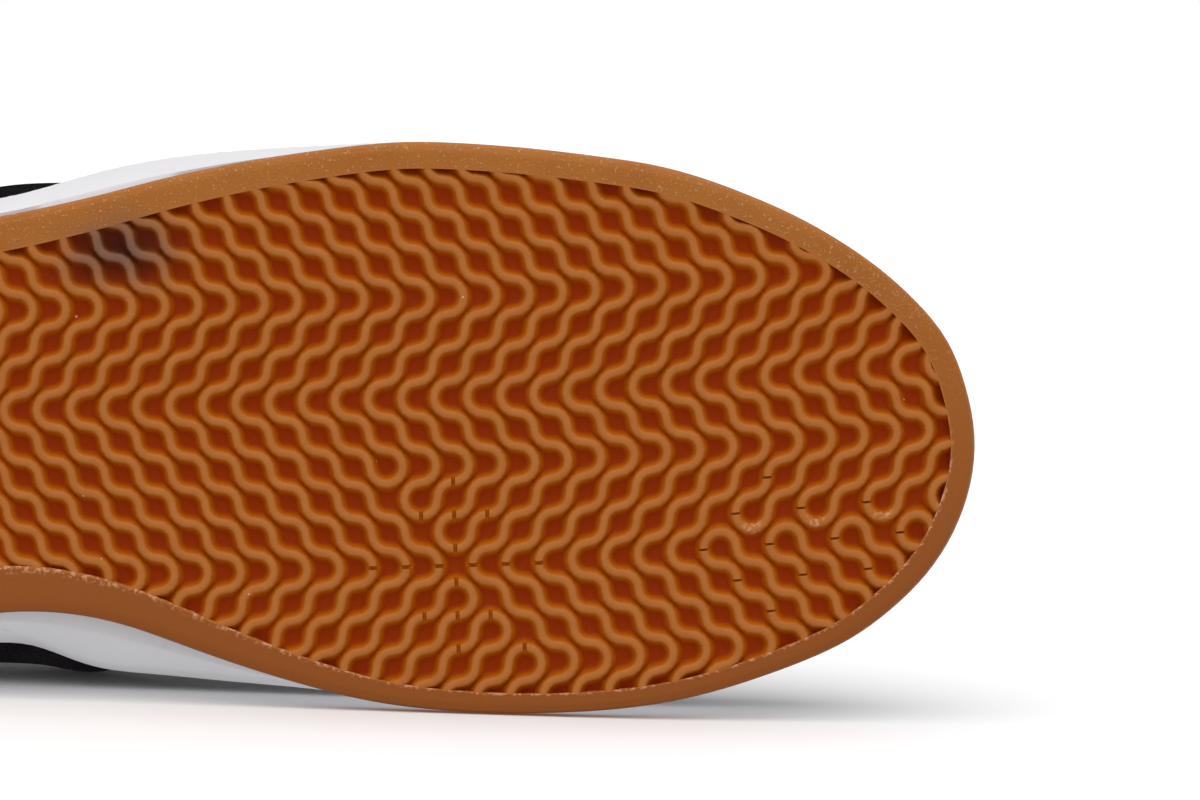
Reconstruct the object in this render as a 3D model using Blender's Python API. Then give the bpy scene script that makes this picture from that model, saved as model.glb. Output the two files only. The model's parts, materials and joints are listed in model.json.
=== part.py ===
"""A right low-top skateboarding shoe, empty, lying on its inner side.

The shoe is worked out standing: X runs from heel to toe, Y towards the inner side of
the foot, Z up, with the ground at Z = 0. It is then laid on its inner side, as found
by the hull of its own points. Metres throughout.
"""

import bpy
import bmesh
import math
import numpy as np
from mathutils import Matrix, Vector

# Driving sizes of the sole
LENGTH = 0.2988
BALL_WIDTH = 0.110
GUM_THICKNESS = 0.0058
RIM_WIDTH = 0.009
SHELF_WIDTH = 0.0123
WALL_HEEL = 0.033
WALL_WAIST = 0.028
WALL_BALL = 0.025
WALL_TOE = 0.028
CUP_WALL = 0.0042
BED_HEEL = 0.017
BED_BALL = 0.011
TOE_SPRING = 0.011
SPRING_START = 0.214

# Driving sizes of the tread
GROOVE_DEPTH = 0.0025
BAR_WIDTH = 0.0021
BAR_DROP = 0.00015
TILE_LONG = 0.00634
TILE_ACROSS = 0.00643
STAR_X = 0.1982
STAR_Y = 0.0262
TREAD_DRIFT = 0.045

# Driving sizes of the upper
HEEL_HEIGHT = 0.085
ANKLE_HEIGHT = 0.068
INSTEP_HEIGHT = 0.099
VAMP_HEIGHT = 0.058
UPPER_WALL = 0.0024
COLLAR_PAD = 0.0045
OVERLAY = 0.0013
EYESTAY_WIDTH = 0.021
EYELETS = 6
EYELET_RADIUS = 0.0023
EYELET_INSET = 0.0095
TONGUE_WALL = 0.0075
TONGUE_LIP = 0.022
INSOLE = 0.0045
LACE_WIDTH = 0.0072
LACE_THICKNESS = 0.0016
LACE_RISE = 0.0022

THROAT_CROWN = 0.16
THROAT_FADE = 0.03
THROAT_REAR = 0.217
THROAT_FRONT = 0.378
TONGUE_ROWS = 9

# Clearance between pieces that touch, and of the tongue below the upper
GAP = 0.0003
TONGUE_CLEARANCE = 0.0015

# Densities in kg per cubic metre
DENSITIES = {"outsole": 1120, "midsole": 620, "upper": 720, "insole": 220, "tongue": 350, "lace": 600}

# How finely the curved pieces are faceted
AROUND = 72
UP = 7

# The gum sole seen from below, from the heel round the inner side to the toe and back.
# along: share of LENGTH; across: share of BALL_WIDTH; shelf: share of SHELF_WIDTH by
# which the white wall stands past the gum; rim: share of RIM_WIDTH
OUTLINE_COLUMNS = ("along", "across", "shelf", "rim")
OUTLINE = (
    (0.000, 0.010, 0.22, 0.80),
    (0.014, 0.150, 0.24, 0.80),
    (0.060, 0.280, 0.29, 0.80),
    (0.140, 0.360, 0.38, 0.82),
    (0.224, 0.362, 0.48, 0.88),
    (0.309, 0.320, 0.57, 0.97),
    (0.377, 0.296, 0.71, 1.00),
    (0.436, 0.3145, 1.00, 0.86),
    (0.510, 0.389, 0.57, 0.70),
    (0.5635, 0.440, 0.24, 0.58),
    (0.625, 0.482, 0.03, 0.48),
    (0.714, 0.502, 0.00, 0.43),
    (0.798, 0.490, 0.00, 0.43),
    (0.871, 0.441, 0.00, 0.45),
    (0.925, 0.3785, 0.00, 0.48),
    (0.9735, 0.2635, 0.00, 0.52),
    (0.997, 0.131, 0.00, 0.53),
    (1.000, 0.030, 0.00, 0.53),
    (0.9855, -0.117, 0.00, 0.53),
    (0.9505, -0.232, 0.00, 0.53),
    (0.9075, -0.320, 0.00, 0.54),
    (0.859, -0.389, 0.00, 0.55),
    (0.7955, -0.449, 0.00, 0.55),
    (0.655, -0.500, 0.00, 0.56),
    (0.5685, -0.487, 0.13, 0.60),
    (0.493, -0.456, 0.32, 0.66),
    (0.4445, -0.427, 0.40, 0.70),
    (0.3785, -0.394, 0.32, 0.74),
    (0.289, -0.368, 0.35, 0.76),
    (0.1995, -0.356, 0.34, 0.78),
    (0.120, -0.330, 0.31, 0.80),
    (0.055, -0.250, 0.28, 0.80),
    (0.013, -0.135, 0.24, 0.80),
)

# The height of the white wall's top edge and of the bed inside it, along the foot
WALL_COLUMNS = ("along", "top", "bed")
WALL = (
    (0.00, WALL_HEEL, BED_HEEL),
    (0.22, WALL_HEEL * 0.97, BED_HEEL),
    (0.42, WALL_WAIST, BED_HEEL * 0.88),
    (0.70, WALL_BALL, BED_BALL),
    (1.00, WALL_TOE, BED_BALL),
)

# The outer profile of the white wall: share of its height, share of its shelf
CUP_PROFILE = ((0.00, 0.30), (0.22, 0.66), (0.55, 0.93), (0.90, 1.00))

# Sections of the upper from the top of the cup to the collar or throat line.
# turn: share of the way round the outline, from the heel by the inner side; top_along,
# top_across, top_height: the end of the section; lean: degrees outwards at its start;
# rise: its first handle as a share of its chord; slope: degrees below level at its end;
# reach: its last handle as a share of its chord
SECTION_COLUMNS = ("turn", "top_along", "top_across", "top_height", "lean", "rise", "slope", "reach")
CLIMB = INSTEP_HEIGHT - ANKLE_HEIGHT
THROAT_CLIMB = INSTEP_HEIGHT - VAMP_HEIGHT
SECTIONS = (
    (0.000, 0.030, 0.008, HEEL_HEIGHT, 20, 0.46, 88, 0.30),
    (0.040, 0.052, 0.170, HEEL_HEIGHT * 0.99, 18, 0.44, 84, 0.30),
    (0.088, 0.132, 0.290, ANKLE_HEIGHT + CLIMB * 0.14, 22, 0.44, 80, 0.32),
    (0.124, 0.215, 0.312, ANKLE_HEIGHT, 36, 0.47, 76, 0.32),
    (0.161, 0.300, 0.300, ANKLE_HEIGHT + CLIMB * 0.34, 48, 0.52, 66, 0.38),
    (0.191, 0.366, 0.262, ANKLE_HEIGHT + CLIMB * 0.78, 41, 0.55, 56, 0.42),
    (0.217, 0.415, 0.215, INSTEP_HEIGHT, 30, 0.50, 50, 0.42),
    (0.251, 0.475, 0.202, VAMP_HEIGHT + THROAT_CLIMB * 0.74, 7, 0.44, 44, 0.42),
    (0.303, 0.565, 0.188, VAMP_HEIGHT + THROAT_CLIMB * 0.38, 3, 0.40, 38, 0.42),
    (0.341, 0.622, 0.168, VAMP_HEIGHT + THROAT_CLIMB * 0.18, 7, 0.40, 33, 0.42),
    (0.378, 0.658, 0.130, VAMP_HEIGHT + THROAT_CLIMB * 0.06, 8, 0.40, 27, 0.42),
    (0.436, 0.680, 0.062, VAMP_HEIGHT, 10, 0.30, 19, 0.47),
    (0.500, 0.686, 0.000, VAMP_HEIGHT, 12, 0.27, 15, 0.50),
    (0.566, 0.680, -0.062, VAMP_HEIGHT, 10, 0.30, 19, 0.47),
    (0.625, 0.658, -0.130, VAMP_HEIGHT + THROAT_CLIMB * 0.06, 8, 0.40, 27, 0.42),
    (0.664, 0.622, -0.168, VAMP_HEIGHT + THROAT_CLIMB * 0.18, 8, 0.40, 33, 0.42),
    (0.700, 0.565, -0.188, VAMP_HEIGHT + THROAT_CLIMB * 0.38, 10, 0.40, 38, 0.42),
    (0.750, 0.475, -0.202, VAMP_HEIGHT + THROAT_CLIMB * 0.74, 7, 0.42, 44, 0.42),
    (0.785, 0.412, -0.215, INSTEP_HEIGHT, 15, 0.46, 50, 0.42),
    (0.812, 0.362, -0.262, ANKLE_HEIGHT + CLIMB * 0.76, 30, 0.48, 56, 0.42),
    (0.842, 0.298, -0.298, ANKLE_HEIGHT + CLIMB * 0.28, 30, 0.46, 66, 0.38),
    (0.882, 0.212, -0.306, ANKLE_HEIGHT * 0.96, 22, 0.44, 76, 0.32),
    (0.916, 0.132, -0.280, ANKLE_HEIGHT + CLIMB * 0.10, 18, 0.44, 80, 0.32),
    (0.960, 0.052, -0.160, HEEL_HEIGHT * 0.99, 16, 0.44, 84, 0.30),
)


def smooth(keys, values, at, period=None):
    """Read a cubic curve through rows of values, cyclic if a period is given."""
    keys, values = np.asarray(keys, float), np.asarray(values, float)
    if period:
        keys = np.concatenate([keys[-2:] - period, keys, keys[:2] + period])
        values = np.concatenate([values[-2:], values, values[:2]])
        at = at % period
    place = int(np.clip(np.searchsorted(keys, at, side="right") - 1, 0, len(keys) - 2))
    step = keys[place + 1] - keys[place]
    share = (at - keys[place]) / step

    def slope(index):
        low, high = max(index - 1, 0), min(index + 1, len(keys) - 1)
        return (values[high] - values[low]) / (keys[high] - keys[low]) * step

    first, last = values[place], values[place + 1]
    square, cube = share * share, share ** 3
    return (first * (2 * cube - 3 * square + 1) + last * (3 * square - 2 * cube)
            + slope(place) * (cube - 2 * square + share) + slope(place + 1) * (cube - square))


def outline_keys():
    """The share of the way round at which each row of the outline stands."""
    points = np.array([(row[0] * LENGTH, row[1] * BALL_WIDTH) for row in OUTLINE])
    steps = np.linalg.norm(np.roll(points, -1, axis=0) - points, axis=1)
    return np.concatenate([[0.0], np.cumsum(steps)[:-1]]) / steps.sum()


OUTLINE_KEYS = outline_keys()


def sole_row(turn):
    """All columns of the outline at a share of the way round."""
    values = smooth(OUTLINE_KEYS, OUTLINE, turn, period=1.0)
    return dict(zip(OUTLINE_COLUMNS, values))


def edge_frame(turn):
    """The gum's edge in plan: its point, and the direction that points outwards."""
    row = sole_row(turn)
    before, after = sole_row(turn - 0.003), sole_row(turn + 0.003)
    along = (after["along"] - before["along"]) * LENGTH
    across = (after["across"] - before["across"]) * BALL_WIDTH
    size = math.hypot(along, across)
    point = np.array([row["along"] * LENGTH, row["across"] * BALL_WIDTH])
    return point, np.array([-across / size, along / size])


def edge_point(turn, outset=0.0):
    """A point of the gum's edge in plan, moved outwards by a distance."""
    point, outwards = edge_frame(turn)
    return point + outwards * outset


def wall_row(x):
    """The white wall's top height and the bed's height at a place along the foot."""
    values = smooth([row[0] for row in WALL], WALL, min(max(x / LENGTH, 0.0), 1.0))
    return dict(zip(WALL_COLUMNS, values))


def cup_outset(turn, share=1.0):
    """How far the white wall's outer face stands from the gum's edge."""
    return sole_row(turn)["shelf"] * SHELF_WIDTH * share - 2 * GAP


def inside_outset(turn):
    """Where the upper's outer face stands inside the cup."""
    return cup_outset(turn) - CUP_WALL - GAP


def controls(turn):
    """The four control points of the upper's section, from the cup to the top line."""
    row = dict(zip(SECTION_COLUMNS, smooth([r[0] for r in SECTIONS], SECTIONS, turn, period=1.0)))
    point, outwards = edge_frame(turn)
    x, y = point + outwards * inside_outset(turn)
    base = np.array([x, y, wall_row(x)["top"] + GAP])
    top = np.array([row["top_along"] * LENGTH, row["top_across"] * BALL_WIDTH, row["top_height"]])
    chord = np.linalg.norm(top - base)
    lean, slope = math.radians(row["lean"]), math.radians(row["slope"])
    aside = (base - top)[:2]
    aside = aside / np.linalg.norm(aside)
    first = np.array([*(outwards * math.sin(lean)), math.cos(lean)]) * chord * row["rise"]
    last = np.array([*(aside * math.cos(slope)), -math.sin(slope)]) * chord * row["reach"]
    return base, base + first, top + last, top


def bare_skin(turn, up):
    """The upper's outer surface: up runs from 0 at the cup's edge to 1 at the top line."""
    a, b, c, d = controls(turn)
    down = 1.0 - up
    return a * down ** 3 + b * 3 * down ** 2 * up + c * 3 * down * up ** 2 + d * up ** 3


def skin(turn, up, offset=0.0):
    """A point of the upper's surface, moved outwards along its normal by a distance."""
    point = bare_skin(turn, up)
    if not offset:
        return point
    round_way = bare_skin(turn + 0.002, up) - bare_skin(turn - 0.002, up)
    up_way = bare_skin(turn, min(up + 0.01, 1.0)) - bare_skin(turn, max(up - 0.01, 0.0))
    normal = np.cross(up_way, round_way)
    return point + normal / np.linalg.norm(normal) * offset


def below_top(turn, distance):
    """The place on a section that lies a distance below its top line."""
    up, last, walked = 1.0, bare_skin(turn, 1.0), 0.0
    while walked < distance and up > 0.02:
        up -= 0.01
        point = bare_skin(turn, up)
        walked += np.linalg.norm(point - last)
        last = point
    return up


def turn_at(side, x):
    """The share of the way round whose top line lies at x, on the inner side (1) or outer (-1)."""
    low, high = (0.205, 0.40) if side > 0 else (0.795, 0.60)
    for _ in range(24):
        middle = (low + high) / 2
        if bare_skin(middle, 1.0)[0] < x:
            low = middle
        else:
            high = middle
    return (low + high) / 2


def new_object(name, bm, material):
    """Turn a bmesh into a named object with its faces pointing outwards."""
    bmesh.ops.recalc_face_normals(bm, faces=bm.faces)
    mesh = bpy.data.meshes.new(name)
    bm.to_mesh(mesh)
    bm.free()
    mesh.materials.append(material)
    piece = bpy.data.objects.new(name, mesh)
    bpy.context.collection.objects.link(piece)
    return piece


def loft(name, rings, material, closed=False):
    """Skin a list of rings; the end rings are capped by strips across, or joined if closed."""
    bm = bmesh.new()
    loops = [[bm.verts.new(point) for point in ring] for ring in rings]
    pairs = list(zip(loops, loops[1:])) + ([(loops[-1], loops[0])] if closed else [])
    for first, second in pairs:
        for i in range(len(first)):
            j = (i + 1) % len(first)
            bm.faces.new((first[i], first[j], second[j], second[i]))
    for loop in () if closed else (loops[0], loops[-1]):
        count = len(loop)
        for i in range(count // 2):
            corners = [loop[i], loop[i + 1], loop[count - i - 1], loop[(count - i) % count]]
            bm.faces.new(list(dict.fromkeys(corners)))
    return new_object(name, bm, material)


def plate(name, outer, inner, material):
    """Close two equal grids of points, an outer and an inner one, into one thin body."""
    bm = bmesh.new()
    faces = [[[bm.verts.new(point) for point in row] for row in grid] for grid in (outer, inner)]
    rows, columns = len(outer), len(outer[0])
    for grid in faces:
        for i in range(rows - 1):
            for j in range(columns - 1):
                bm.faces.new((grid[i][j], grid[i + 1][j], grid[i + 1][j + 1], grid[i][j + 1]))
    border = [(i, 0) for i in range(rows)] + [(rows - 1, j) for j in range(1, columns)]
    border += [(i, columns - 1) for i in range(rows - 2, -1, -1)]
    border += [(0, j) for j in range(columns - 2, 0, -1)]
    for (i, j), (k, m) in zip(border, border[1:] + border[:1]):
        bm.faces.new((faces[0][i][j], faces[0][k][m], faces[1][k][m], faces[1][i][j]))
    return new_object(name, bm, material)


def boolean(piece, tool, operation):
    """Cut or join a piece with a tool, keep the result in its mesh and drop the tool."""
    modifier = piece.modifiers.new(operation.title(), "BOOLEAN")
    modifier.operation = operation
    modifier.object = tool
    evaluated = piece.evaluated_get(bpy.context.evaluated_depsgraph_get())
    result = bpy.data.meshes.new_from_object(evaluated)
    piece.modifiers.clear()
    piece.data = result
    bpy.data.objects.remove(tool)
    return piece


def sole_ring(outset, height):
    """A ring round the sole: outset and height are numbers or functions of turn or of x."""
    ring = []
    for i in range(AROUND):
        turn = i / AROUND
        x, y = edge_point(turn, outset(turn) if callable(outset) else outset)
        ring.append((x, y, height(x) if callable(height) else height))
    return ring


def tile_leans_back(column, row):
    """Whether a tile's two bars run down towards the heel, by the folds of the tread."""
    if row == -1 and column >= 8:
        return column % 2 == 1
    if -3 <= row <= -1:
        return column >= row + 1
    if 0 <= row <= 2:
        return column < row
    return -8 <= row <= -6 or row >= 3


def tread_lines():
    """Follow the bars from tile to tile, as lines in half tiles, turned only at the folds."""
    links = {}
    for column in range(-33, 18):
        for row in range(-14, 7):
            top, bottom = (2 * column + 1, 2 * row), (2 * column + 1, 2 * row + 2)
            left, right = (2 * column, 2 * row + 1), (2 * column + 2, 2 * row + 1)
            pairs = ((top, left), (right, bottom)) if tile_leans_back(column, row) \
                else ((top, right), (left, bottom))
            for first, second in pairs:
                links.setdefault(first, []).append(second)
                links.setdefault(second, []).append(first)
    ends = [spot for spot, near in links.items() if len(near) == 1]
    lines, seen = [], set()
    for start in ends + list(links):
        if start in seen:
            continue
        line, spot = [start], start
        seen.add(start)
        while True:
            ahead = [near for near in links[spot] if near not in seen]
            if not ahead:
                break
            spot = ahead[0]
            seen.add(spot)
            line.append(spot)
        ring = len(line) > 2 and line[0] in links[line[-1]]
        lines.append((line, ring))
    return lines


def bends(line, ring):
    """The points of a line at which it turns, with its two ends where it is open."""
    kept = []
    for i, spot in enumerate(line):
        before, after = line[i - 1], line[(i + 1) % len(line)]
        turns = (spot[0] - before[0], spot[1] - before[1]) != (after[0] - spot[0], after[1] - spot[1])
        if turns or (not ring and i in (0, len(line) - 1)):
            kept.append(spot)
    return kept


def tread_place(spot):
    """Half tiles to metres; the rows drift to the outer side ahead of the ball."""
    x = STAR_X + spot[0] / 2 * TILE_LONG
    y = STAR_Y + spot[1] / 2 * TILE_ACROSS - TREAD_DRIFT * max(0.0, x - SPRING_START)
    return Vector((x, y))


def add_bar(bm, line, ring):
    """One bar of the tread, a strip with mitred corners and upright sides."""
    points = [tread_place(spot) for spot in bends(line, ring)]
    count = len(points)
    sides = ([], [])
    for i, point in enumerate(points):
        before = points[i - 1] if ring or i else None
        after = points[(i + 1) % count] if ring or i < count - 1 else None
        ways = [way.normalized() for way in (before and point - before, after and after - point) if way]
        across = Vector((0.0, 0.0))
        for way in ways:
            across += Vector((-way.y, way.x))
        across.normalize()
        mitre = BAR_WIDTH / 2 / max(across.dot(Vector((-ways[0].y, ways[0].x))), 0.5)
        sides[0].append(point + across * mitre)
        sides[1].append(point - across * mitre)
    heights = (BAR_DROP, GROOVE_DEPTH + 2 * GAP)
    corners = [[[bm.verts.new((*point, height)) for point in side] for height in heights] for side in sides]
    (left_low, left_high), (right_low, right_high) = corners
    for i in range(count if ring else count - 1):
        j = (i + 1) % count
        for a, b in ((left_low, left_high), (left_high, right_high), (right_high, right_low),
                     (right_low, left_low)):
            bm.faces.new((a[i], a[j], b[j], b[i]))
    if not ring:
        for i in (0, count - 1):
            bm.faces.new((left_low[i], left_high[i], right_high[i], right_low[i]))


def make_outsole(gum):
    """The gum sole: a rim round a sunk field, and bars that follow the folds of the tread."""
    round_off = 0.0016
    rings = [
        sole_ring(lambda turn: -sole_row(turn)["rim"] * RIM_WIDTH - GAP, GROOVE_DEPTH),
        sole_ring(lambda turn: -sole_row(turn)["rim"] * RIM_WIDTH, 0.0),
        sole_ring(-round_off, 0.0),
        sole_ring(-round_off * 0.3, round_off * 0.3),
        sole_ring(0.0, round_off),
        sole_ring(0.0, GUM_THICKNESS - GAP),
        sole_ring(-GAP, GUM_THICKNESS),
    ]
    sole = loft("outsole", rings, gum)
    bm = bmesh.new()
    for line, ring in tread_lines():
        if len(line) > 1:
            add_bar(bm, line, ring)
    bars = new_object("bars", bm, gum)
    inner = [sole_ring(lambda turn: -sole_row(turn)["rim"] * RIM_WIDTH + GAP, height)
             for height in (-GUM_THICKNESS, GUM_THICKNESS)]
    bars = boolean(bars, loft("field", inner, gum), "INTERSECT")
    return boolean(sole, bars, "UNION")


def make_midsole(white):
    """The white cup: a floor, and a wall round it that stands past the gum at the waist."""
    base = GUM_THICKNESS + GAP
    rings = []
    for share, shelf in CUP_PROFILE:
        rings.append(sole_ring(lambda turn: cup_outset(turn, shelf),
                               lambda x: base + (wall_row(x)["top"] - base) * share))
    lip = CUP_WALL * 0.2
    rings.append(sole_ring(lambda turn: cup_outset(turn) - lip, lambda x: wall_row(x)["top"]))
    rings.append(sole_ring(lambda turn: cup_outset(turn) - CUP_WALL + GAP, lambda x: wall_row(x)["top"]))
    rings.append(sole_ring(lambda turn: cup_outset(turn) - CUP_WALL, lambda x: wall_row(x)["top"] - GAP))
    rings.append(sole_ring(lambda turn: cup_outset(turn) - CUP_WALL, lambda x: wall_row(x)["bed"]))
    return loft("midsole", rings, white)


def pad_at(turn, up):
    """How much of the collar's padding there is at a place of the upper."""
    from_heel = min(turn % 1.0, 1.0 - turn % 1.0)
    along = min(max((0.200 - from_heel) / 0.06, 0.0), 1.0)
    high = min(max((up - 0.45) / 0.35, 0.0), 1.0) * (1.0 - 0.35 * max(up - 0.85, 0.0) / 0.15)
    return along * along * (3 - 2 * along) * high


def make_upper(suede):
    """The hollow upper, from its edge in the cup to the collar and the throat."""
    outer, inner = [], []
    for offset, rings in ((0.0, outer), (-UPPER_WALL, inner)):
        rings.append(sole_ring(lambda turn: inside_outset(turn) + offset,
                               lambda x: wall_row(x)["bed"] + GAP))
        rings.append(sole_ring(lambda turn: inside_outset(turn) + offset,
                               lambda x: wall_row(x)["top"] - GAP))
    for step in range(1, UP + 1):
        up = step / UP
        turns = [i / AROUND for i in range(AROUND)]
        outer.append([skin(turn, up) for turn in turns])
        inner.append([skin(turn, up, -UPPER_WALL - COLLAR_PAD * pad_at(turn, up)) for turn in turns])
    return loft("upper", outer + inner[::-1], suede, closed=True)


def patch(name, turns, lowest, highest, rows, material):
    """A panel laid on the upper between two lines, each a function of turn."""
    outer, inner = [], []
    for turn in turns:
        low, high = lowest(turn), highest(turn)
        ups = [low + (high - low) * i / rows for i in range(rows + 1)]
        outer.append([skin(turn, up, 2 * GAP + OVERLAY) for up in ups])
        inner.append([skin(turn, up, 2 * GAP) for up in ups])
    return plate(name, outer, inner, material)


def eyelet_sites():
    """The eyelets in pairs from the front: for each side its share of the way round and its up."""
    rear, front = throat_ends()
    pairs = []
    for i in range(EYELETS):
        x = front - 0.004 + (rear + 0.008 - front + 0.004) * i / (EYELETS - 1)
        pairs.append([(turn, below_top(turn, EYELET_INSET)) for turn in (turn_at(1, x), turn_at(-1, x))])
    return pairs


def punch(pieces, sites):
    """Cut the round eyelets through the panels that lie there."""
    for piece in pieces:
        bm = bmesh.new()
        for turn, up in (site for pair in sites for site in pair):
            low, high = (Vector(skin(turn, up, reach)) for reach in (-3 * UPPER_WALL, 3 * UPPER_WALL))
            place = Matrix.Translation((low + high) / 2) @ (high - low).to_track_quat("Z", "Y").to_matrix().to_4x4()
            bmesh.ops.create_cone(bm, cap_ends=True, segments=8, radius1=EYELET_RADIUS,
                                  radius2=EYELET_RADIUS, depth=(high - low).length, matrix=place)
        boolean(piece, new_object("punch", bm, piece.data.materials[0]), "DIFFERENCE")


def throat_ends():
    """Where the throat's rear and front corners lie along the foot."""
    return bare_skin(THROAT_REAR, 1.0)[0], bare_skin(THROAT_FRONT, 1.0)[0]


def throat_point(inner_turn, outer_turn, share, lift):
    """A point over the throat, share of the way from its inner edge to its outer one."""
    inner, outer = skin(inner_turn, 1.0, lift), skin(outer_turn, 1.0, lift)
    behind = (throat_ends()[1] - (inner[0] + outer[0]) / 2) / THROAT_FADE
    fade = 0.3 + 0.7 * min(max(behind, 0.0), 1.0)
    crown = THROAT_CROWN * fade * np.linalg.norm(outer - inner) * 4 * share * (1 - share)
    return inner + (outer - inner) * share + np.array([-0.35, 0.0, 0.94]) * crown


def make_tongue(lining):
    """The tongue: under the vamp in front, past the top eyelets behind, wings under the sides."""
    rear, front = throat_ends()
    under = -UPPER_WALL - TONGUE_CLEARANCE
    wings = (0.016, 0.008)
    fullness = (0.45, 0.75, 0.95, 1.0, 1.0, 1.0, 0.95, 0.75, 0.45)
    outer, inner = [], []
    for step in range(-1, TONGUE_ROWS + 2):
        share = min(max(step / (TONGUE_ROWS - 1), 0.0), 1.0)
        fat = TONGUE_WALL * (0.45 + 0.55 * share)
        for grid, depth in ((outer, 0.0), (inner, fat)):
            lifts = [under - depth * full for full in fullness]
            if step < 0:
                turns = [0.400 + 0.025 * i for i in range(9)]
                grid.append([skin(turn, below_top(turn, 0.012), lift) for turn, lift in zip(turns, lifts)])
                continue
            x = front + (rear - front) * share
            left, right = turn_at(1, x), turn_at(-1, x)
            points = [skin(left, below_top(left, wing), lift) for wing, lift in zip(wings, lifts)]
            points += [throat_point(left, right, place, lift)
                       for place, lift in zip((0, 0.25, 0.5, 0.75, 1), lifts[2:7])]
            points += [skin(right, below_top(right, wing), lift) for wing, lift in zip(wings[::-1], lifts[7:])]
            grid.append(points)
            if step < TONGUE_ROWS:
                continue
            extra = step - TONGUE_ROWS + 1
            way = np.array(grid[TONGUE_ROWS][4]) - np.array(grid[TONGUE_ROWS - 1][4])
            way = way / np.linalg.norm(way) * TONGUE_LIP / 2 * extra
            middle = (points[2] + points[6]) / 2
            tucked = [points[2] + (points[0] - points[2]) * 0.10, points[2] + (points[1] - points[2]) * 0.10]
            tucked += points[2:7]
            tucked += [points[6] + (points[7] - points[6]) * 0.10, points[6] + (points[8] - points[6]) * 0.10]
            narrow = (0.94, 0.78)[extra - 1]
            grid[-1] = [middle + (point - middle) * narrow + way for point in tucked]
    return plate("tongue", outer, inner, lining)


def make_insole(lining):
    """The insole, on the cup's bed inside the upper."""
    def rim(turn):
        return inside_outset(turn) - UPPER_WALL - GAP
    bevel = INSOLE / 4
    rings = [
        sole_ring(rim, lambda x: wall_row(x)["bed"] + GAP),
        sole_ring(rim, lambda x: wall_row(x)["bed"] + INSOLE - bevel),
        sole_ring(lambda turn: rim(turn) - bevel, lambda x: wall_row(x)["bed"] + INSOLE),
    ]
    return loft("insole", rings, lining)


def ribbon(name, path, lifts_from, material):
    """A flat lace along a path; lifts_from is a point below it that tells which way is up."""
    rows = []
    for i, point in enumerate(path):
        way = path[min(i + 1, len(path) - 1)] - path[max(i - 1, 0)]
        up = point - lifts_from
        across = np.cross(way, up)
        across = across / np.linalg.norm(across) * LACE_WIDTH / 2
        normal = np.cross(across, way)
        normal = normal / np.linalg.norm(normal) * LACE_THICKNESS / 2
        rows.append([point + across + normal, point - across + normal,
                     point - across - normal, point + across - normal])
    bm = bmesh.new()
    corners = [[bm.verts.new(point) for point in row] for row in rows]
    for first, second in zip(corners, corners[1:]):
        for i in range(4):
            bm.faces.new((first[i], first[(i + 1) % 4], second[(i + 1) % 4], second[i]))
    bm.faces.new(corners[0])
    bm.faces.new(corners[-1])
    return new_object(name, bm, material)


def make_laces(sites, lace):
    """A straight bar at the front eyelets, then a crossing for each further pair."""
    top = 2 * GAP + OVERLAY + LACE_RISE + LACE_THICKNESS / 2
    low = -UPPER_WALL - TONGUE_CLEARANCE + LACE_THICKNESS / 2 + LACE_RISE
    pieces = []

    def over(start, finish, flip, lifts, shares):
        path = []
        for share, lift in zip(shares, lifts):
            place = 1 - share if flip else share
            path.append(throat_point(start, finish, place, lift))
        return path

    for i in range(EYELETS):
        (inner, inner_up), (outer, outer_up) = sites[i]
        anchor = (skin(inner, 1.0) + skin(outer, 1.0)) / 2 - np.array([0.0, 0.0, 0.05])
        if i == 0:
            path = [skin(inner, inner_up, top)]
            path += over(inner, outer, False, (top, top, top, top, top), (0.0, 0.25, 0.5, 0.75, 1.0))
            path.append(skin(outer, outer_up, top))
            pieces.append(ribbon("lace_bar", path, anchor, lace))
            continue
        (back_inner, back_inner_up), (back_outer, back_outer_up) = sites[i - 1]
        shares = (0.0, 0.15, 0.34, 0.50, 0.66, 0.80, 0.90)
        lifts = (top, top, top * 0.8 + low * 0.2, (top + low) / 2, top * 0.2 + low * 0.8, low, low)
        if i == 1:
            shares, lifts = (0.10, 0.30, 0.50, 0.70, 0.90), (low,) * 5
        one = over(back_inner, outer, False, lifts, shares)
        two = over(inner, back_outer, True, lifts, shares)
        if i > 1:
            one.insert(0, skin(back_inner, back_inner_up, top))
            two.insert(0, skin(back_outer, back_outer_up, top))
        crossing = ribbon("lace_cross_%d" % i, one, anchor, lace)
        pieces.append(boolean(crossing, ribbon("second", two, anchor, lace), "UNION"))
    return pieces


def spring(pieces):
    """Lift the toe: every point ahead of the ball rises by the square of its distance."""
    for piece in pieces:
        for vertex in piece.data.vertices:
            ahead = max(0.0, vertex.co.x - SPRING_START) / (LENGTH - SPRING_START)
            vertex.co.z += TOE_SPRING * ahead * ahead


def weight_centre(pieces):
    """The centre of mass, from each piece's own solid and its density."""
    total, moment = 0.0, np.zeros(3)
    for piece in pieces:
        mesh = piece.data
        mesh.calc_loop_triangles()
        points = np.array([vertex.co for vertex in mesh.vertices])
        corners = points[np.array([triangle.vertices for triangle in mesh.loop_triangles])]
        volumes = np.einsum("ij,ij->i", corners[:, 0], np.cross(corners[:, 1], corners[:, 2])) / 6
        density = DENSITIES.get(piece.name.split("_")[0], DENSITIES["upper"])
        total += volumes.sum() * density
        moment += (corners.sum(axis=1) / 4 * volumes[:, None]).sum(axis=0) * density
    return moment / total


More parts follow.
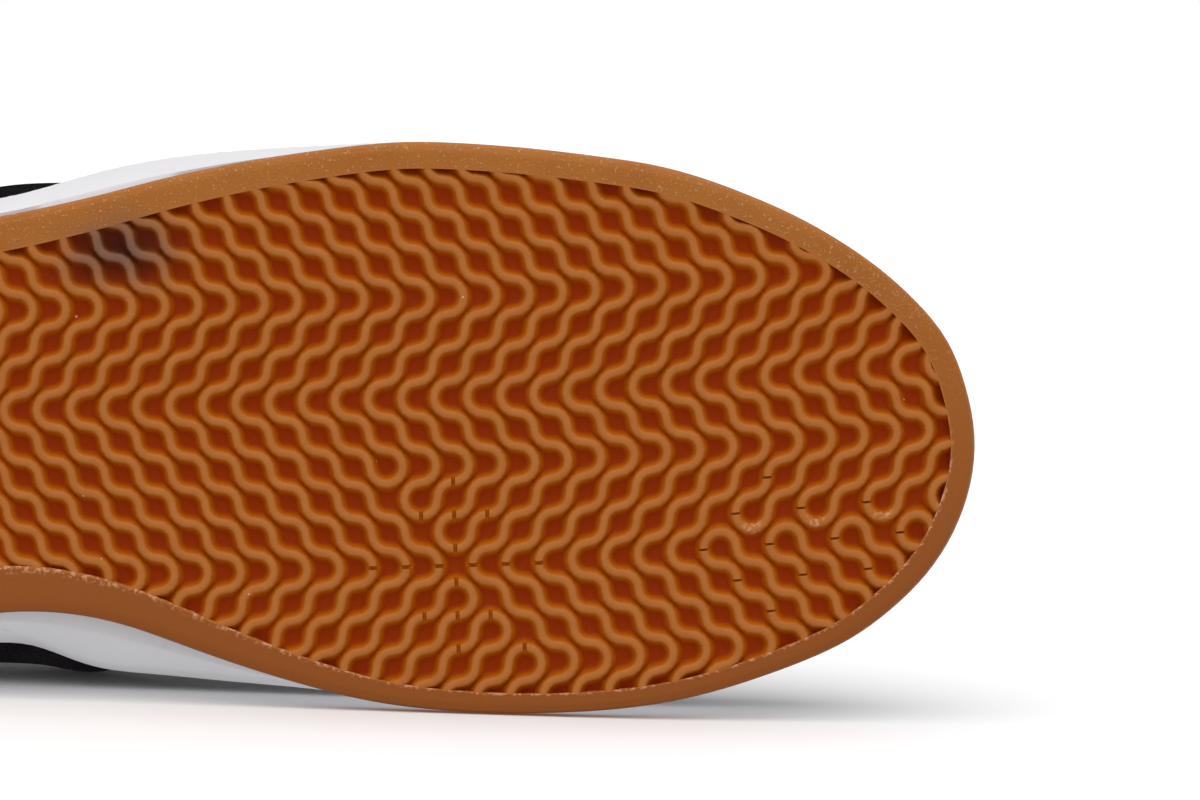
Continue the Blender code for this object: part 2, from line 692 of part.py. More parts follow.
def lay_down(pieces):
    """Turn the shoe onto its inner side and let it settle on the face of its hull below its weight."""
    bm = bmesh.new()
    for piece in pieces:
        for vertex in piece.data.vertices:
            bm.verts.new(vertex.co)
    hull = bmesh.ops.convex_hull(bm, input=bm.verts)
    faces = [face for face in hull["geom"] if isinstance(face, bmesh.types.BMFace)]
    centre = Vector(weight_centre(pieces))
    pose = Matrix.Rotation(math.radians(-90), 3, "X")
    for _ in range(12):
        best = None
        for face in faces:
            normal = pose @ face.normal
            if normal.z > -0.2:
                continue
            corners = [pose @ vertex.co for vertex in face.verts]
            spot = pose @ centre
            inside = [(b.xy - a.xy).cross(spot.xy - a.xy) for a, b in zip(corners, corners[1:] + corners[:1])]
            if min(inside) >= 0 or max(inside) <= 0:
                best = normal
        pose = best.rotation_difference(Vector((0, 0, -1))).to_matrix() @ pose
    points = np.array([pose @ vertex.co for vertex in bm.verts])
    bm.free()
    low, high = points.min(axis=0), points.max(axis=0)
    shift = Vector((-(low[0] + high[0]) / 2, -(low[1] + high[1]) / 2, -low[2]))
    rest = bpy.data.objects.new("rest", None)
    bpy.context.collection.objects.link(rest)
    rest.matrix_world = Matrix.Translation(shift) @ pose.to_4x4()
    for piece in pieces:
        piece.parent = rest


def finish(name, colour, roughness):
    """A plain Principled material."""
    material = bpy.data.materials.new(name)
    material.use_nodes = True
    shader = material.node_tree.nodes["Principled BSDF"]
    shader.inputs["Base Color"].default_value = (*colour, 1.0)
    shader.inputs["Roughness"].default_value = roughness
    shader.inputs["Metallic"].default_value = 0.0
    return material


def main():
    for old in list(bpy.data.objects):
        bpy.data.objects.remove(old, do_unlink=True)
    gum = finish("gum", (0.40, 0.13, 0.03), 0.38)
    white = finish("white_rubber", (0.80, 0.80, 0.82), 0.45)
    suede = finish("black_suede", (0.012, 0.009, 0.011), 0.85)
    overlay = finish("black_leather", (0.012, 0.010, 0.012), 0.55)
    lining = finish("black_lining", (0.015, 0.013, 0.015), 0.80)
    lace = finish("black_lace", (0.014, 0.012, 0.014), 0.75)

    upper = make_upper(suede)
    eyestay = patch("eyestay", [0.209 + 0.0194 * i for i in range(31)],
                    lambda turn: below_top(turn, EYESTAY_WIDTH), lambda turn: below_top(turn, GAP * 2), 3,
                    overlay)
    counter = patch("heel_counter", [-0.100 + 0.0125 * i for i in range(17)],
                    lambda turn: 0.015, lambda turn: 0.22 + 0.42 * (1 - (turn / 0.100) ** 2), 3, overlay)
    sites = eyelet_sites()
    punch((upper, eyestay), sites)
    pieces = [make_outsole(gum), make_midsole(white), upper, eyestay, counter, make_tongue(lining),
              make_insole(lining)] + make_laces(sites, lace)
    spring(pieces)
    lay_down(pieces)
    for piece in pieces:
        piece.data.shade_smooth()
        piece.data.set_sharp_from_angle(angle=math.radians(35))


main()
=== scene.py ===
# %% [markdown]
# # A skateboarding shoe on its side
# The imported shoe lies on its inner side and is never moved. Each of its pieces gets the form and finish
# that the eye looks for: a gum sole with a maze of ridges, a white rubber cup, black suede, leather, knit
# and a flat lace.

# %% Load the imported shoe
import json
import math
from collections import defaultdict

import bmesh
import bpy
import numpy as np
from mathutils import Matrix, Vector
from mathutils.bvhtree import BVHTree

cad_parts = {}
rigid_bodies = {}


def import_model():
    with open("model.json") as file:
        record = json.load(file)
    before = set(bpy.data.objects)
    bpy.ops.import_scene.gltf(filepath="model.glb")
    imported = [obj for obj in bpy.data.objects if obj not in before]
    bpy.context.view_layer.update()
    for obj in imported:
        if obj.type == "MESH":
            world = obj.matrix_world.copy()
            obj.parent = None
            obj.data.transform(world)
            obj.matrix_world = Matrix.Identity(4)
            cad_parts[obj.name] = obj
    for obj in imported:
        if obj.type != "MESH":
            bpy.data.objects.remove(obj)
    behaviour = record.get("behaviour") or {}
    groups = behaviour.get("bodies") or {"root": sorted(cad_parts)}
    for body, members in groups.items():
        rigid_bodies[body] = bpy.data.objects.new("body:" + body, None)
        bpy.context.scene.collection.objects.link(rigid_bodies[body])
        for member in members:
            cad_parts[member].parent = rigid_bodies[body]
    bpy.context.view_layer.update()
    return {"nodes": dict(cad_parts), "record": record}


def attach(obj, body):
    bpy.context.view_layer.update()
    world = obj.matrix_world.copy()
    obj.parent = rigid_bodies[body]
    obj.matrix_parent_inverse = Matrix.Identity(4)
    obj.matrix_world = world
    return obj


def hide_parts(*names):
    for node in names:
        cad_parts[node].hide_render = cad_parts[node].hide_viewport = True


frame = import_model()
nodes = frame["nodes"]
print("nodes:", ", ".join(sorted(nodes)))


def new_object(name, data):
    """A new object in the scene that holds a mesh, a lamp or a camera."""
    made = bpy.data.objects.new(name, data)
    bpy.context.scene.collection.objects.link(made)
    return made


# %% [markdown]
# A shoe is easiest to think of standing up: X from heel to toe, Y towards the inner side of the foot and
# Z up from the ground. Two flat spots, under the heel and under the ball, are known in both positions.
# With the way that the sole faces, they tell how the shoe was laid down, so every piece is shaped
# standing and laid down at the end.

# %% Find how the standing shoe was laid down
HEEL_SPOT = Vector((0.0044, 0.00105, 0.0))
BALL_SPOT = Vector((0.196375, -0.051634, 0.0))

mounts = {mount["name"]: mount for mount in frame["record"]["mounts"]}
heel = Vector(mounts["heel_seat"]["pos_m"])
ball = Vector(mounts["ball_seat"]["pos_m"])
shoe_up = -Vector(mounts["heel_seat"]["axis"]).normalized()
along = (ball - heel - shoe_up * (ball - heel).dot(shoe_up)).normalized()
aside = shoe_up.cross(along)
turn = math.atan2(BALL_SPOT.y - HEEL_SPOT.y, BALL_SPOT.x - HEEL_SPOT.x)
shoe_x = along * math.cos(turn) - aside * math.sin(turn)
shoe_y = shoe_up.cross(shoe_x)
lay_down = Matrix((shoe_x, shoe_y, shoe_up)).transposed().to_4x4()
lay_down.translation = heel - lay_down.to_3x3() @ HEEL_SPOT
stand_up = lay_down.inverted()
print("the shoe points along", [round(c, 4) for c in shoe_x])

# %% [markdown]
# The view decides where the detail has to be, so the camera comes first. It looks almost straight at
# the sole with a long lens from a little above, so the white edge of the cup shows along the top.

# %% Camera
PHOTO_WIDTH = 1200
PIXELS_PER_METRE = 5227.0
DISTANCE = 1.2
FILM_WIDTH = 36.0
RAISED = math.radians(3.0)
ROLLED = 0.0314
AIM = Vector((0.2268, -0.0047, 0.0))

right = (shoe_x + shoe_y * ROLLED).normalized()
down = (shoe_y - shoe_x * ROLLED).normalized()
look = (shoe_up * math.cos(RAISED) + down * math.sin(RAISED)).normalized()
top = right.cross(look)
camera = new_object("camera", bpy.data.cameras.new("camera"))
camera.data.sensor_width = FILM_WIDTH
camera.data.lens = FILM_WIDTH * DISTANCE * PIXELS_PER_METRE / PHOTO_WIDTH
placed = Matrix((right, top, -look)).transposed().to_4x4()
placed.translation = lay_down @ AIM - look * DISTANCE
camera.matrix_world = placed
bpy.context.scene.camera = camera
print("camera height", round(placed.translation.z, 3), "lens", round(camera.data.lens, 1))

# %% [markdown]
# The studio is a white floor without an edge in sight and one wide soft light overhead. The sky is white
# where it meets the floor and grey above, so nothing shows where the floor ends and the hollow under the
# shoe still darkens. The floor gives no light back to the shoe, so the sides of the ridges that face down
# stay darker than those that face up.

# %% Floor and light
FLOOR_SIZE = 60.0
FLOOR_HEIGHT = -0.0003
SKY_STOPS = ((0.0, 0.85), (0.48, 0.85), (0.49, 1.0), (0.515, 1.0), (0.56, 0.76))
LIGHT_SPREAD = 90.0
LIGHT_TOWARDS = Vector((0.03, 0.36, -1.0))

bpy.context.scene.view_settings.view_transform = "Standard"
bpy.ops.mesh.primitive_plane_add(size=FLOOR_SIZE, location=(0.0, 0.0, FLOOR_HEIGHT))
floor = bpy.context.object
floor.name = "floor"
floor.visible_diffuse = False

world = bpy.data.worlds.new("sky")
bpy.context.scene.world = world
world.use_nodes = True
sky = world.node_tree
height = sky.nodes.new("ShaderNodeSeparateXYZ")
sky.links.new(sky.nodes.new("ShaderNodeTexCoord").outputs["Generated"], height.inputs[0])
fade = sky.nodes.new("ShaderNodeValToRGB")
halved = sky.nodes.new("ShaderNodeMath")
halved.operation = "MULTIPLY_ADD"
halved.inputs[1].default_value = halved.inputs[2].default_value = 0.5
sky.links.new(height.outputs["Z"], halved.inputs[0])
sky.links.new(halved.outputs[0], fade.inputs["Fac"])
stops = fade.color_ramp.elements
for place, grey in SKY_STOPS:
    stop = stops[0] if place == 0.0 else stops.new(place)
    stop.color = (grey, grey, grey, 1.0)
stops.remove(stops[-1])
sky.links.new(fade.outputs["Color"], sky.nodes["Background"].inputs["Color"])

lamp = new_object("overhead", bpy.data.lights.new("overhead", "SUN"))
lamp.data.energy = 1.75
lamp.data.angle = math.radians(LIGHT_SPREAD)
lamp.rotation_mode = "QUATERNION"
lamp.rotation_quaternion = LIGHT_TOWARDS.to_track_quat("-Z", "Y")

# %% [markdown]
# A finish is a small tree of shader nodes, written as sums to keep it readable. One class stands for a
# socket and turns a sum into a Math node, and one method makes every other kind of node.

# %% Sums for finishes
class Wire:
    """The output socket of a node, which takes part in sums."""

    def __init__(self, finish, socket):
        self.finish = finish
        self.socket = socket

    def sum(self, operation, *values):
        return self.finish.node("Math", {"operation": operation}, dict(enumerate(values)))

    def __add__(self, other):
        return self.sum("ADD", self, other)

    def __sub__(self, other):
        return self.sum("SUBTRACT", self, other)

    def __rsub__(self, other):
        return self.sum("SUBTRACT", other, self)

    def __mul__(self, other):
        return self.sum("MULTIPLY", self, other)

    def __abs__(self):
        return self.sum("ABSOLUTE", self)

    def sine(self):
        return self.sum("SINE", self)

    def to_and_fro(self, reach):
        return self.sum("PINGPONG", self, reach)


class Finish:
    """A material made of nodes that end in one Principled shader."""

    def __init__(self, name, **sockets):
        self.material = bpy.data.materials.new(name)
        self.material.use_nodes = True
        self.tree = self.material.node_tree
        self.shader = self.tree.nodes["Principled BSDF"]
        for socket, value in sockets.items():
            self.feed(socket.replace("_", " "), value)

    def feed(self, socket, value):
        """Give a socket of the Principled shader a wire or a value."""
        self.give(self.shader.inputs[socket], value)

    def give(self, socket, value):
        if isinstance(value, Wire):
            self.tree.links.new(value.socket, socket)
        elif socket.type == "RGBA":
            socket.default_value = value + (1.0,)
        else:
            socket.default_value = value

    def node(self, kind, settings=None, sockets=None, output=0):
        """Make a node: its settings first, then its sockets."""
        made = self.tree.nodes.new("ShaderNode" + kind)
        for name, value in (settings or {}).items():
            setattr(made, name, value)
        for name, value in (sockets or {}).items():
            self.give(made.inputs[name], value)
        return Wire(self, made.outputs[output])

    def place(self, stretch=(1.0, 1.0, 1.0)):
        """The place on the standing shoe, in metres, stretched by a factor each way."""
        laid = self.node("TexCoord", output="Object")
        stood = self.node("Mapping", {"vector_type": "TEXTURE"}, {
            "Vector": laid, "Location": lay_down.translation, "Rotation": lay_down.to_euler()})
        return self.node("VectorMath", {"operation": "MULTIPLY"}, {0: stood, 1: stretch})

    def coordinate(self, axis):
        """How far along an axis of the standing shoe a place lies, in metres."""
        return self.node("SeparateXYZ", None, {0: self.place()}, axis)

    def kept(self, name):
        """A number that was kept with each point of the mesh."""
        return self.node("Attribute", {"attribute_name": name}, output="Fac")

    def noise(self, size, detail=2.0, rough=0.5):
        """Soft cloudy noise from 0 to 1 whose blots are about this size in metres."""
        return self.node("TexNoise", None, {"Vector": self.place(), "Scale": 1.0 / size,
                                            "Detail": detail, "Roughness": rough})

    def range(self, value, low, high, to_low=0.0, to_high=1.0):
        """Stretch the part of a value from low to high over a new range, smoothly."""
        return self.node("MapRange", {"interpolation_type": "SMOOTHSTEP"}, {
            "Value": value, "From Min": low, "From Max": high, "To Min": to_low, "To Max": to_high})

    def mix(self, share, first, second):
        """A colour between two colours."""
        return self.node("Mix", {"data_type": "RGBA"}, {0: share, 6: first, 7: second}, 2)

    def bump(self, height, depth, strength):
        """Raise the surface by a height from 0 to 1 of a depth in metres."""
        self.feed("Normal", self.node("Bump", None, {
            "Height": height, "Distance": depth, "Strength": strength}))


def two_tones(name, size, dark, light, **sockets):
    """A finish in two tones that pass into each other in blots of a size."""
    finish = Finish(name, **sockets)
    finish.feed("Base Color", finish.mix(finish.noise(size), dark, light))
    return finish


paper = two_tones("white_floor", 0.4, (0.88, 0.88, 0.885), (0.9, 0.9, 0.905), Roughness=0.9)
floor.data.materials.append(paper.material)

# %% [markdown]
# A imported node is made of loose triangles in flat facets. The helpers here make a standing copy of it in
# four-sided faces, pick its parts by place, smooth it, and lay it down in the stead of its node.

# %% Helpers for shaping a copy
def alone(piece):
    """Select one piece and nothing else."""
    bpy.ops.object.select_all(action="DESELECT")
    piece.select_set(True)
    bpy.context.view_layer.objects.active = piece


def shape(piece, kind="VERT"):
    """Open one piece for shaping, with nothing on it picked."""
    alone(piece)
    bpy.ops.object.mode_set(mode="EDIT")
    pick_none(kind)


def leave():
    """Close the open piece."""
    bpy.ops.object.mode_set(mode="OBJECT")


def pick_all():
    bpy.ops.mesh.select_all(action="SELECT")


def pick_none(kind):
    """Drop the pick, and pick points, edges or faces from here on."""
    bpy.ops.mesh.select_mode(type=kind)
    bpy.ops.mesh.select_all(action="DESELECT")


def merge(reach):
    """Merge the points of the open piece that lie closer together than a distance."""
    pick_all()
    bpy.ops.mesh.remove_doubles(threshold=reach)


def flatten(height):
    """Press the picked points flat at a height."""
    bpy.ops.transform.resize(value=(1.0, 1.0, 0.0), center_override=(0.0, 0.0, height))


def pick(kind, test):
    """Pick the points, edges or faces of the open piece that pass a test, and count them."""
    mesh = bpy.context.object.data
    bm = bmesh.from_edit_mesh(mesh)
    found = [part for part in getattr(bm, kind) if not part.hide and test(part)]
    for part in found:
        part.select_set(True)
    bm.select_flush_mode()
    bmesh.update_edit_mesh(mesh)
    return len(found)


def standing_copy(node, name):
    """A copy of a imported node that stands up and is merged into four-sided faces."""
    source = nodes[node]
    mesh = source.data.copy()
    mesh.materials.clear()
    mesh.transform(stand_up @ source.matrix_world)
    piece = new_object(name, mesh)
    shape(piece)
    merge(0.00001)
    bpy.ops.mesh.tris_convert_to_quads(face_threshold=math.radians(35), shape_threshold=math.radians(60))
    leave()
    return piece


def points_of(piece):
    """The piece's points as rows of three numbers."""
    rows = np.empty(len(piece.data.vertices) * 3)
    piece.data.vertices.foreach_get("co", rows)
    return rows.reshape(-1, 3)


def mm(places):
    """Places in millimetres, turned to metres."""
    return np.array(places) / 1000.0


def lengths(rows):
    return np.linalg.norm(rows, axis=-1)


def unit(rows):
    """Directions made one long."""
    return rows / lengths(rows)[:, None]


def walk(line):
    """How far one has walked along a line at each of its places."""
    return np.concatenate([[0.0], np.cumsum(lengths(np.diff(line, axis=0)))])


def put_points(piece, rows):
    piece.data.vertices.foreach_set("co", np.asarray(rows).ravel())
    piece.data.update()


def hold_edges(piece, sharpness):
    """Keep the edges sharp that turn by more than an angle in degrees, and the open ones."""
    shape(piece)
    bm = bmesh.from_edit_mesh(piece.data)
    held = bm.edges.layers.float.new("crease_edge")
    count = 0
    for edge in bm.edges:
        if not edge.is_manifold or edge.calc_face_angle() > math.radians(sharpness):
            edge[held] = 1.0
            count += 1
    bmesh.update_edit_mesh(piece.data)
    leave()
    print(piece.name, "has", count, "held edges")


def round_off(piece, levels, passes=3, held=None):
    """Round the facets off with Subdivision Surface, so that the rounded form still meets every point."""
    if held:
        hold_edges(piece, held)
    alone(piece)
    rounding = piece.modifiers.new("rounding", "SUBSURF")
    rounding.levels = levels
    rounding.render_levels = levels
    aim = points_of(piece)
    for _ in range(passes):
        rounded = piece.evaluated_get(bpy.context.evaluated_depsgraph_get())
        met = points_of(rounded)[:len(aim)]
        put_points(piece, points_of(piece) + (aim - met))
    bpy.ops.object.modifier_apply(modifier="rounding")


def settle(piece, finish, slot, *replaced, angle=180.0):
    """Lay a finished piece down, shade it smooth and let it ride with the shoe."""
    piece.data.transform(lay_down)
    piece.data.materials.clear()
    piece.data.materials.append(finish.material)
    alone(piece)
    if angle < 180.0:
        bpy.ops.object.shade_smooth_by_angle(angle=math.radians(angle))
    else:
        bpy.ops.object.shade_smooth()
    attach(piece, "root")
    if replaced:
        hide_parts(*replaced)
    print(piece.name, "has", len(piece.data.polygons), "faces")


# %% [markdown]
# The sole is flat up to the ball and bends up ahead of it. The maze of the tread is made flat and bends
# with it, and its rows drift outwards a little at the toe.

# %% The bend of the sole
SPRING_START = 0.214
TOE_SPRING = 0.011
SPRING_LENGTH = 0.0848
TREAD_DRIFT = 0.045
GROOVE_DEPTH = 0.0025
TILE_LONG, TILE_ACROSS = 0.00634, 0.00643


def spring(x):
    """How far the sole has risen at a place along it."""
    return TOE_SPRING * (np.maximum(x - SPRING_START, 0.0) / SPRING_LENGTH) ** 2


# %% [markdown]
# Gum rubber is a warm translucent brown, and its colour is painted by depth. The worn flat tops look
# dusty and pale, the flanks are painted orange as a painted glow of light through the rubber, and the
# grooves turn a darker red-brown as painted shade. Each mesh carries how deep a point lies, from 0 at the
# ground to 1 at the bottom of a groove, and -1 marks the smoother rim.

# %% Gum rubber
gum = Finish("gum_rubber", IOR=1.5, Specular_IOR_Level=0.04, Coat_Roughness=0.35)
deep = gum.kept("deep")
gum_dust = gum.noise(0.004, 3.0)
# Colour by depth: pale tops, flanks in a painted orange glow, and painted shade in the grooves below them
gum_top = gum.mix(gum_dust, (0.345, 0.104, 0.016), (0.43, 0.146, 0.029))
gum_flank = gum.mix(gum.noise(0.02), (0.38, 0.084, 0.002), (0.45, 0.113, 0.004))
gum_shade = gum.mix(gum.range(deep, 0.03, 0.35), gum_top, gum_flank)
# Painted shade: the deepest parts of the grooves turn a darker red-brown
gum_groove_shade = gum.mix(gum.range(deep, 0.45, 0.95), gum_shade, (0.285, 0.030, 0.0002))
across = gum.coordinate(1)
# Painted shade: the rim darkens towards the inner side, which lies towards the floor; the blots after it
# are the rubber's own mottling
rim_tone_and_painted_light = gum.mix(gum.range(across, -0.055, 0.045), (0.37, 0.122, 0.018), (0.25, 0.067, 0.0085))
rim_tone_and_painted_light = gum.mix(gum.range(gum.noise(0.012, 4.0), 0.45, 0.75, 0.0, 0.35), rim_tone_and_painted_light, (0.26, 0.070, 0.008))
# Painted highlights: pale specks on the rim's pebbles, only on the outer side that faces the light; the
# same mask also raises the pebbles in the bump
pebbles_and_highlights = gum.range(gum.noise(0.0007, 2.0, 0.7), 0.52, 0.66) * gum.range(across, 0.005, -0.03)
rim_tone_and_painted_light = gum.mix(pebbles_and_highlights * 0.55, rim_tone_and_painted_light, (0.60, 0.30, 0.095))
on_rim = gum.range(deep, -0.05, -0.5)
gum_clean = gum.mix(on_rim, gum_groove_shade, rim_tone_and_painted_light)

# %% A scuff, specks and painted highlights on the gum
SCUFF_X, SCUFF_Y, SCUFF_FLAT = 0.1362, -0.0362, 1.6
# The painted highlights on the bottoms of the rings at the toe: the first one's place and the line that
# their row follows
FIRST_RING, ROW_LEAN, ROW_OFFSET = 0.2551, 0.0914, 0.0444

scuff_middle = (SCUFF_X, SCUFF_Y * SCUFF_FLAT, 0.0)
scuff_far = gum.node("VectorMath", {"operation": "DISTANCE"},
                     {0: gum.place((1.0, SCUFF_FLAT, 0.2)), 1: scuff_middle}, "Value")
scuff = gum.range(scuff_far + gum.noise(0.006, 3.0) * 0.008, 0.0215, 0.004)
scuff_ink = gum.mix(gum.range(deep, 0.1, 0.5), (0.055, 0.060, 0.070), (0.010, 0.004, 0.006))
gum_worn = gum.mix(scuff * gum.range(deep, -0.6, 0.5, 0.42, 0.82), gum_clean, scuff_ink)
far_from_speck = gum.node("TexVoronoi", None, {"Vector": gum.place(), "Scale": 90.0}, "Distance")
speck = gum.range(far_from_speck, 0.028, 0.016)
wall = gum.kept("wall")
# Painted highlights: broken pale glints on the tray's wall along the inner side
glint = wall * gum.range(gum.noise(0.0011, 2.0, 0.6), 0.50, 0.60) * gum.range(across, -0.005, 0.02)
# Painted highlights on the bottoms of the rings at the toe, along the row that the line gives
toe_x = gum.coordinate(0)
off_row = abs(across + toe_x * ROW_LEAN - ROW_OFFSET)
toe_ring_highlight = gum.range(off_row, 0.0019, 0.0008) * gum.range(toe_x, 0.249, 0.254) * gum.range(deep, 0.5, 0.2)
off_ring = (toe_x - FIRST_RING).to_and_fro(TILE_LONG)
toe_ring_highlight = toe_ring_highlight * gum.range(off_ring, 0.0026, 0.0008) * gum.range(deep, -0.1, 0.0)
toe_ring_highlight = toe_ring_highlight * gum.range(gum.noise(0.0009, 3.0, 0.6), 0.45, 0.62)
gum_with_highlights = gum.mix(glint * 0.75 + toe_ring_highlight * 0.5, gum_worn, (0.70, 0.36, 0.20))
gum.feed("Base Color", gum.mix(speck * 0.7, gum_with_highlights, (0.70, 0.50, 0.38)))
gum.feed("Roughness", gum.range(deep, 0.0, 0.5, 0.55, 0.45))
gum.feed("Coat Weight", gum.range(deep, 0.02, 0.4, 0.22, 0.0))
gum.bump(gum.noise(0.0006) + gum.noise(0.0018, 1.0) * 0.7 + pebbles_and_highlights * on_rim * 1.5, 0.00014, 0.8)

# %% [markdown]
# The rim is the flat band round the sole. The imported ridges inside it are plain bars, so they are cleared
# away: the rim's ring is hidden for a moment, everything linked inside it is deleted, and the open inner
# edge is drawn straight in to make a clean tray.

# %% Outsole rim and tray
FIELD_MIDDLE, FIELD_LONG, FIELD_ACROSS = 0.15, 0.03, 0.015


def on_ground(vertex):
    return abs(vertex.co.z - spring(vertex.co.x)) < 0.00005


def in_field(face):
    """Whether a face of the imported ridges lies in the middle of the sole."""
    spot = face.calc_center_median()
    return (abs(spot.x - FIELD_MIDDLE) < FIELD_LONG and abs(spot.y) < FIELD_ACROSS
            and spot.z < GROOVE_DEPTH + 0.0001)


rim = standing_copy("outsole", "outsole_rim")
shape(rim, "FACE")
ring_faces = pick("faces", lambda face: face.normal.z < -0.9 and all(on_ground(v) for v in face.verts))
bpy.ops.mesh.hide(unselected=False)
field_faces = pick("faces", in_field)
bpy.ops.mesh.select_linked()
bpy.ops.mesh.delete(type="FACE")
bpy.ops.mesh.reveal(select=False)
pick_none("EDGE")
edge_count = pick("edges", lambda edge: edge.is_boundary)
inner_edge = np.array([v.co[:] for v in bmesh.from_edit_mesh(rim.data).verts if v.select])
bpy.ops.mesh.extrude_edges_move(TRANSFORM_OT_translate={"value": (0.0, 0.0, GROOVE_DEPTH)})
bpy.ops.mesh.edge_face_add()
leave()
round_off(rim, 2, held=18)
print("ring faces", ring_faces, "field faces", field_faces, "inner edges", edge_count)


def keep_value(piece, name, values):
    """Keep a number with each point of a piece, for its finish to read."""
    kept = piece.data.attributes.new(name, "FLOAT", "POINT")
    kept.data.foreach_set("value", np.asarray(values).astype(np.float32))


# %% [markdown]
# The maze of ridges is one square tile, used hundreds of times. On it two ridges bend a quarter turn
# round two opposite corners, and every side is crossed at its middle, so tiles fit whichever way they
# are turned. The ridge's profile is drawn out from a corner and spun round it. Its height is in metres,
# while the tile is one unit wide until it gets its place.

# %% One tile of the tread
STAR_X, STAR_Y = 0.1982, 0.0262
GROOVE_FLOOR = 0.00238
RIDGE_TOP = 0.00003
RIDGE_PROFILE = ((0.39, 0.00234), (0.29, 0.00208), (0.203, 0.00150), (0.160, 0.00090), (0.115, 0.0003),
                 (0.062, RIDGE_TOP))
SHARED = 2


def ridge_steps():
    """The profile from a corner to the far foot of the ridge, as distances from the corner and depths."""
    near = [(0.5 - reach, depth) for reach, depth in RIDGE_PROFILE]
    far = [(0.5 + reach, depth) for reach, depth in reversed(RIDGE_PROFILE[SHARED:])]
    return [(0.0, GROOVE_FLOOR)] + near + far


bpy.ops.mesh.primitive_plane_add(size=0.01)
tile = bpy.context.object
shape(tile)
pick("verts", lambda vertex: vertex.index != 0)
bpy.ops.mesh.delete(type="VERT")
pick_all()
bpy.ops.transform.translate(value=(0.005, 0.005, GROOVE_FLOOR))
steps = ridge_steps()
for (reach, depth), (next_reach, next_depth) in zip(steps, steps[1:]):
    bpy.ops.mesh.extrude_vertices_move(
        TRANSFORM_OT_translate={"value": (next_reach - reach, 0.0, next_depth - depth)})
pick_all()
bpy.ops.mesh.spin(steps=4, angle=-math.pi / 2, center=(0.0, 0.0, 0.0), axis=(0.0, 0.0, 1.0))
merge(0.0005)
pick_all()
bpy.ops.mesh.duplicate_move()
bpy.ops.transform.rotate(value=math.pi, orient_axis="Z", center_override=(0.5, 0.5, 0.0))
merge(0.01)


def draw_floor_edge(foot, *stops):
    """Draw wire along the tile's sides, from the foot of one ridge by way of stops."""
    pick_none("VERT")
    pick("verts", lambda vertex: math.dist(vertex.co[:2], foot) < 0.004)
    for x, y, depth in stops:
        start = next(v.co.copy() for v in bmesh.from_edit_mesh(tile.data).verts if v.select)
        bpy.ops.mesh.extrude_vertices_move(
            TRANSFORM_OT_translate={"value": (x - start.x, y - start.y, depth - start.z)})


def on_side(edge):
    return any(all(abs(v.co[axis] - side) < 0.001 for v in edge.verts)
               for axis in (0, 1) for side in (0, 1))


foot_reach, foot_depth = RIDGE_PROFILE[SHARED]
to_corner = [(0.5 + reach, depth) for reach, depth in reversed(RIDGE_PROFILE[:SHARED])]
to_corner.append((1.0, GROOVE_FLOOR))
to_foot = [(0.5 - reach, depth) for reach, depth in RIDGE_PROFILE[:SHARED + 1]]
draw_floor_edge((0.5 + foot_reach, 0.0), *[(x, 0.0, depth) for x, depth in to_corner],
                *[(1.0, y, depth) for y, depth in to_foot])
draw_floor_edge((0.0, 0.5 + foot_reach), *[(0.0, y, depth) for y, depth in to_corner],
                *[(x, 1.0, depth) for x, depth in to_foot])
merge(0.01)
for side in (1, -1):
    pick_none("EDGE")
    pick("edges", lambda edge: (edge.is_wire or (edge.is_boundary and not on_side(edge)))
         and sum(v.co.x - v.co.y for v in edge.verts) * side > 0.002)
    bpy.ops.mesh.edge_face_add()
    bpy.ops.mesh.poke()
    pick_none("VERT")
    pick("verts", lambda v: not v.is_boundary and (v.co.x - v.co.y) * side > 0.45 and v.co.z > foot_depth)
    flatten(GROOVE_FLOOR * 0.93)
pick_all()
bpy.ops.mesh.normals_make_consistent(inside=False)
if sum(face.normal.z for face in bmesh.from_edit_mesh(tile.data).faces) > 0:
    bpy.ops.mesh.flip_normals()
leave()
print("tile has", len(tile.data.polygons), "faces and", len(tile.data.vertices), "points")

# %% [markdown]
# Near the star under the ball and at the toe, some ridges are slit where they cross a tile's side. A
# slit is two cuts beside the side, with the ridge between them pressed flat. Tiles with the same turn and
# the same slits share one model.

# %% Tiles with slits
STAR_SLIT = 0.062
TOE_SLIT = 0.036


def press_slit(side, half):
    """Cut a slit of a half width into the open tile where a ridge crosses one of its sides."""
    axis, at = {"left": (0, 0.0), "right": (0, 1.0), "near": (1, 0.0), "far": (1, 1.0)}[side]
    inwards = 1.0 if at == 0.0 else -1.0
    for reach in (half, half * 0.6):
        cut = [0.5, 0.5, 0.0]
        cut[axis] = at + inwards * reach
        pick_all()
        bpy.ops.mesh.bisect(plane_co=cut, plane_no=(1.0 - axis, float(axis), 0.0))
    pick_none("VERT")
    floor_depth = GROOVE_FLOOR * 0.5
    pick("verts", lambda v: abs(v.co[axis] - at) < half * 0.7 and abs(v.co[1 - axis] - 0.5) < 0.2
         and v.co.z < floor_depth)
    flatten(floor_depth)


made_tiles = {}


def tile_like(back, slits):
    """The tile that leans back or not and has these slits, modelled when it is first asked for."""
    key = (back, slits)
    if key not in made_tiles:
        alone(tile)
        bpy.ops.object.duplicate()
        like = bpy.context.object
        shape(like)
        if not back:
            pick_all()
            bpy.ops.transform.rotate(value=math.pi / 2, orient_axis="Z", center_override=(0.5, 0.5, 0.0))
        for side, half in slits:
            press_slit(side, half)
        leave()
        made_tiles[key] = like
    return made_tiles[key]


# %% [markdown]
# The maze folds along a few straight lines: rows under the inner ball, and a zigzag strip at the toe.
# The chart says which way each tile is turned, and lists say where the blade has been. The copies of the
# tiles are joined and merged, and what would pass the rim is removed.

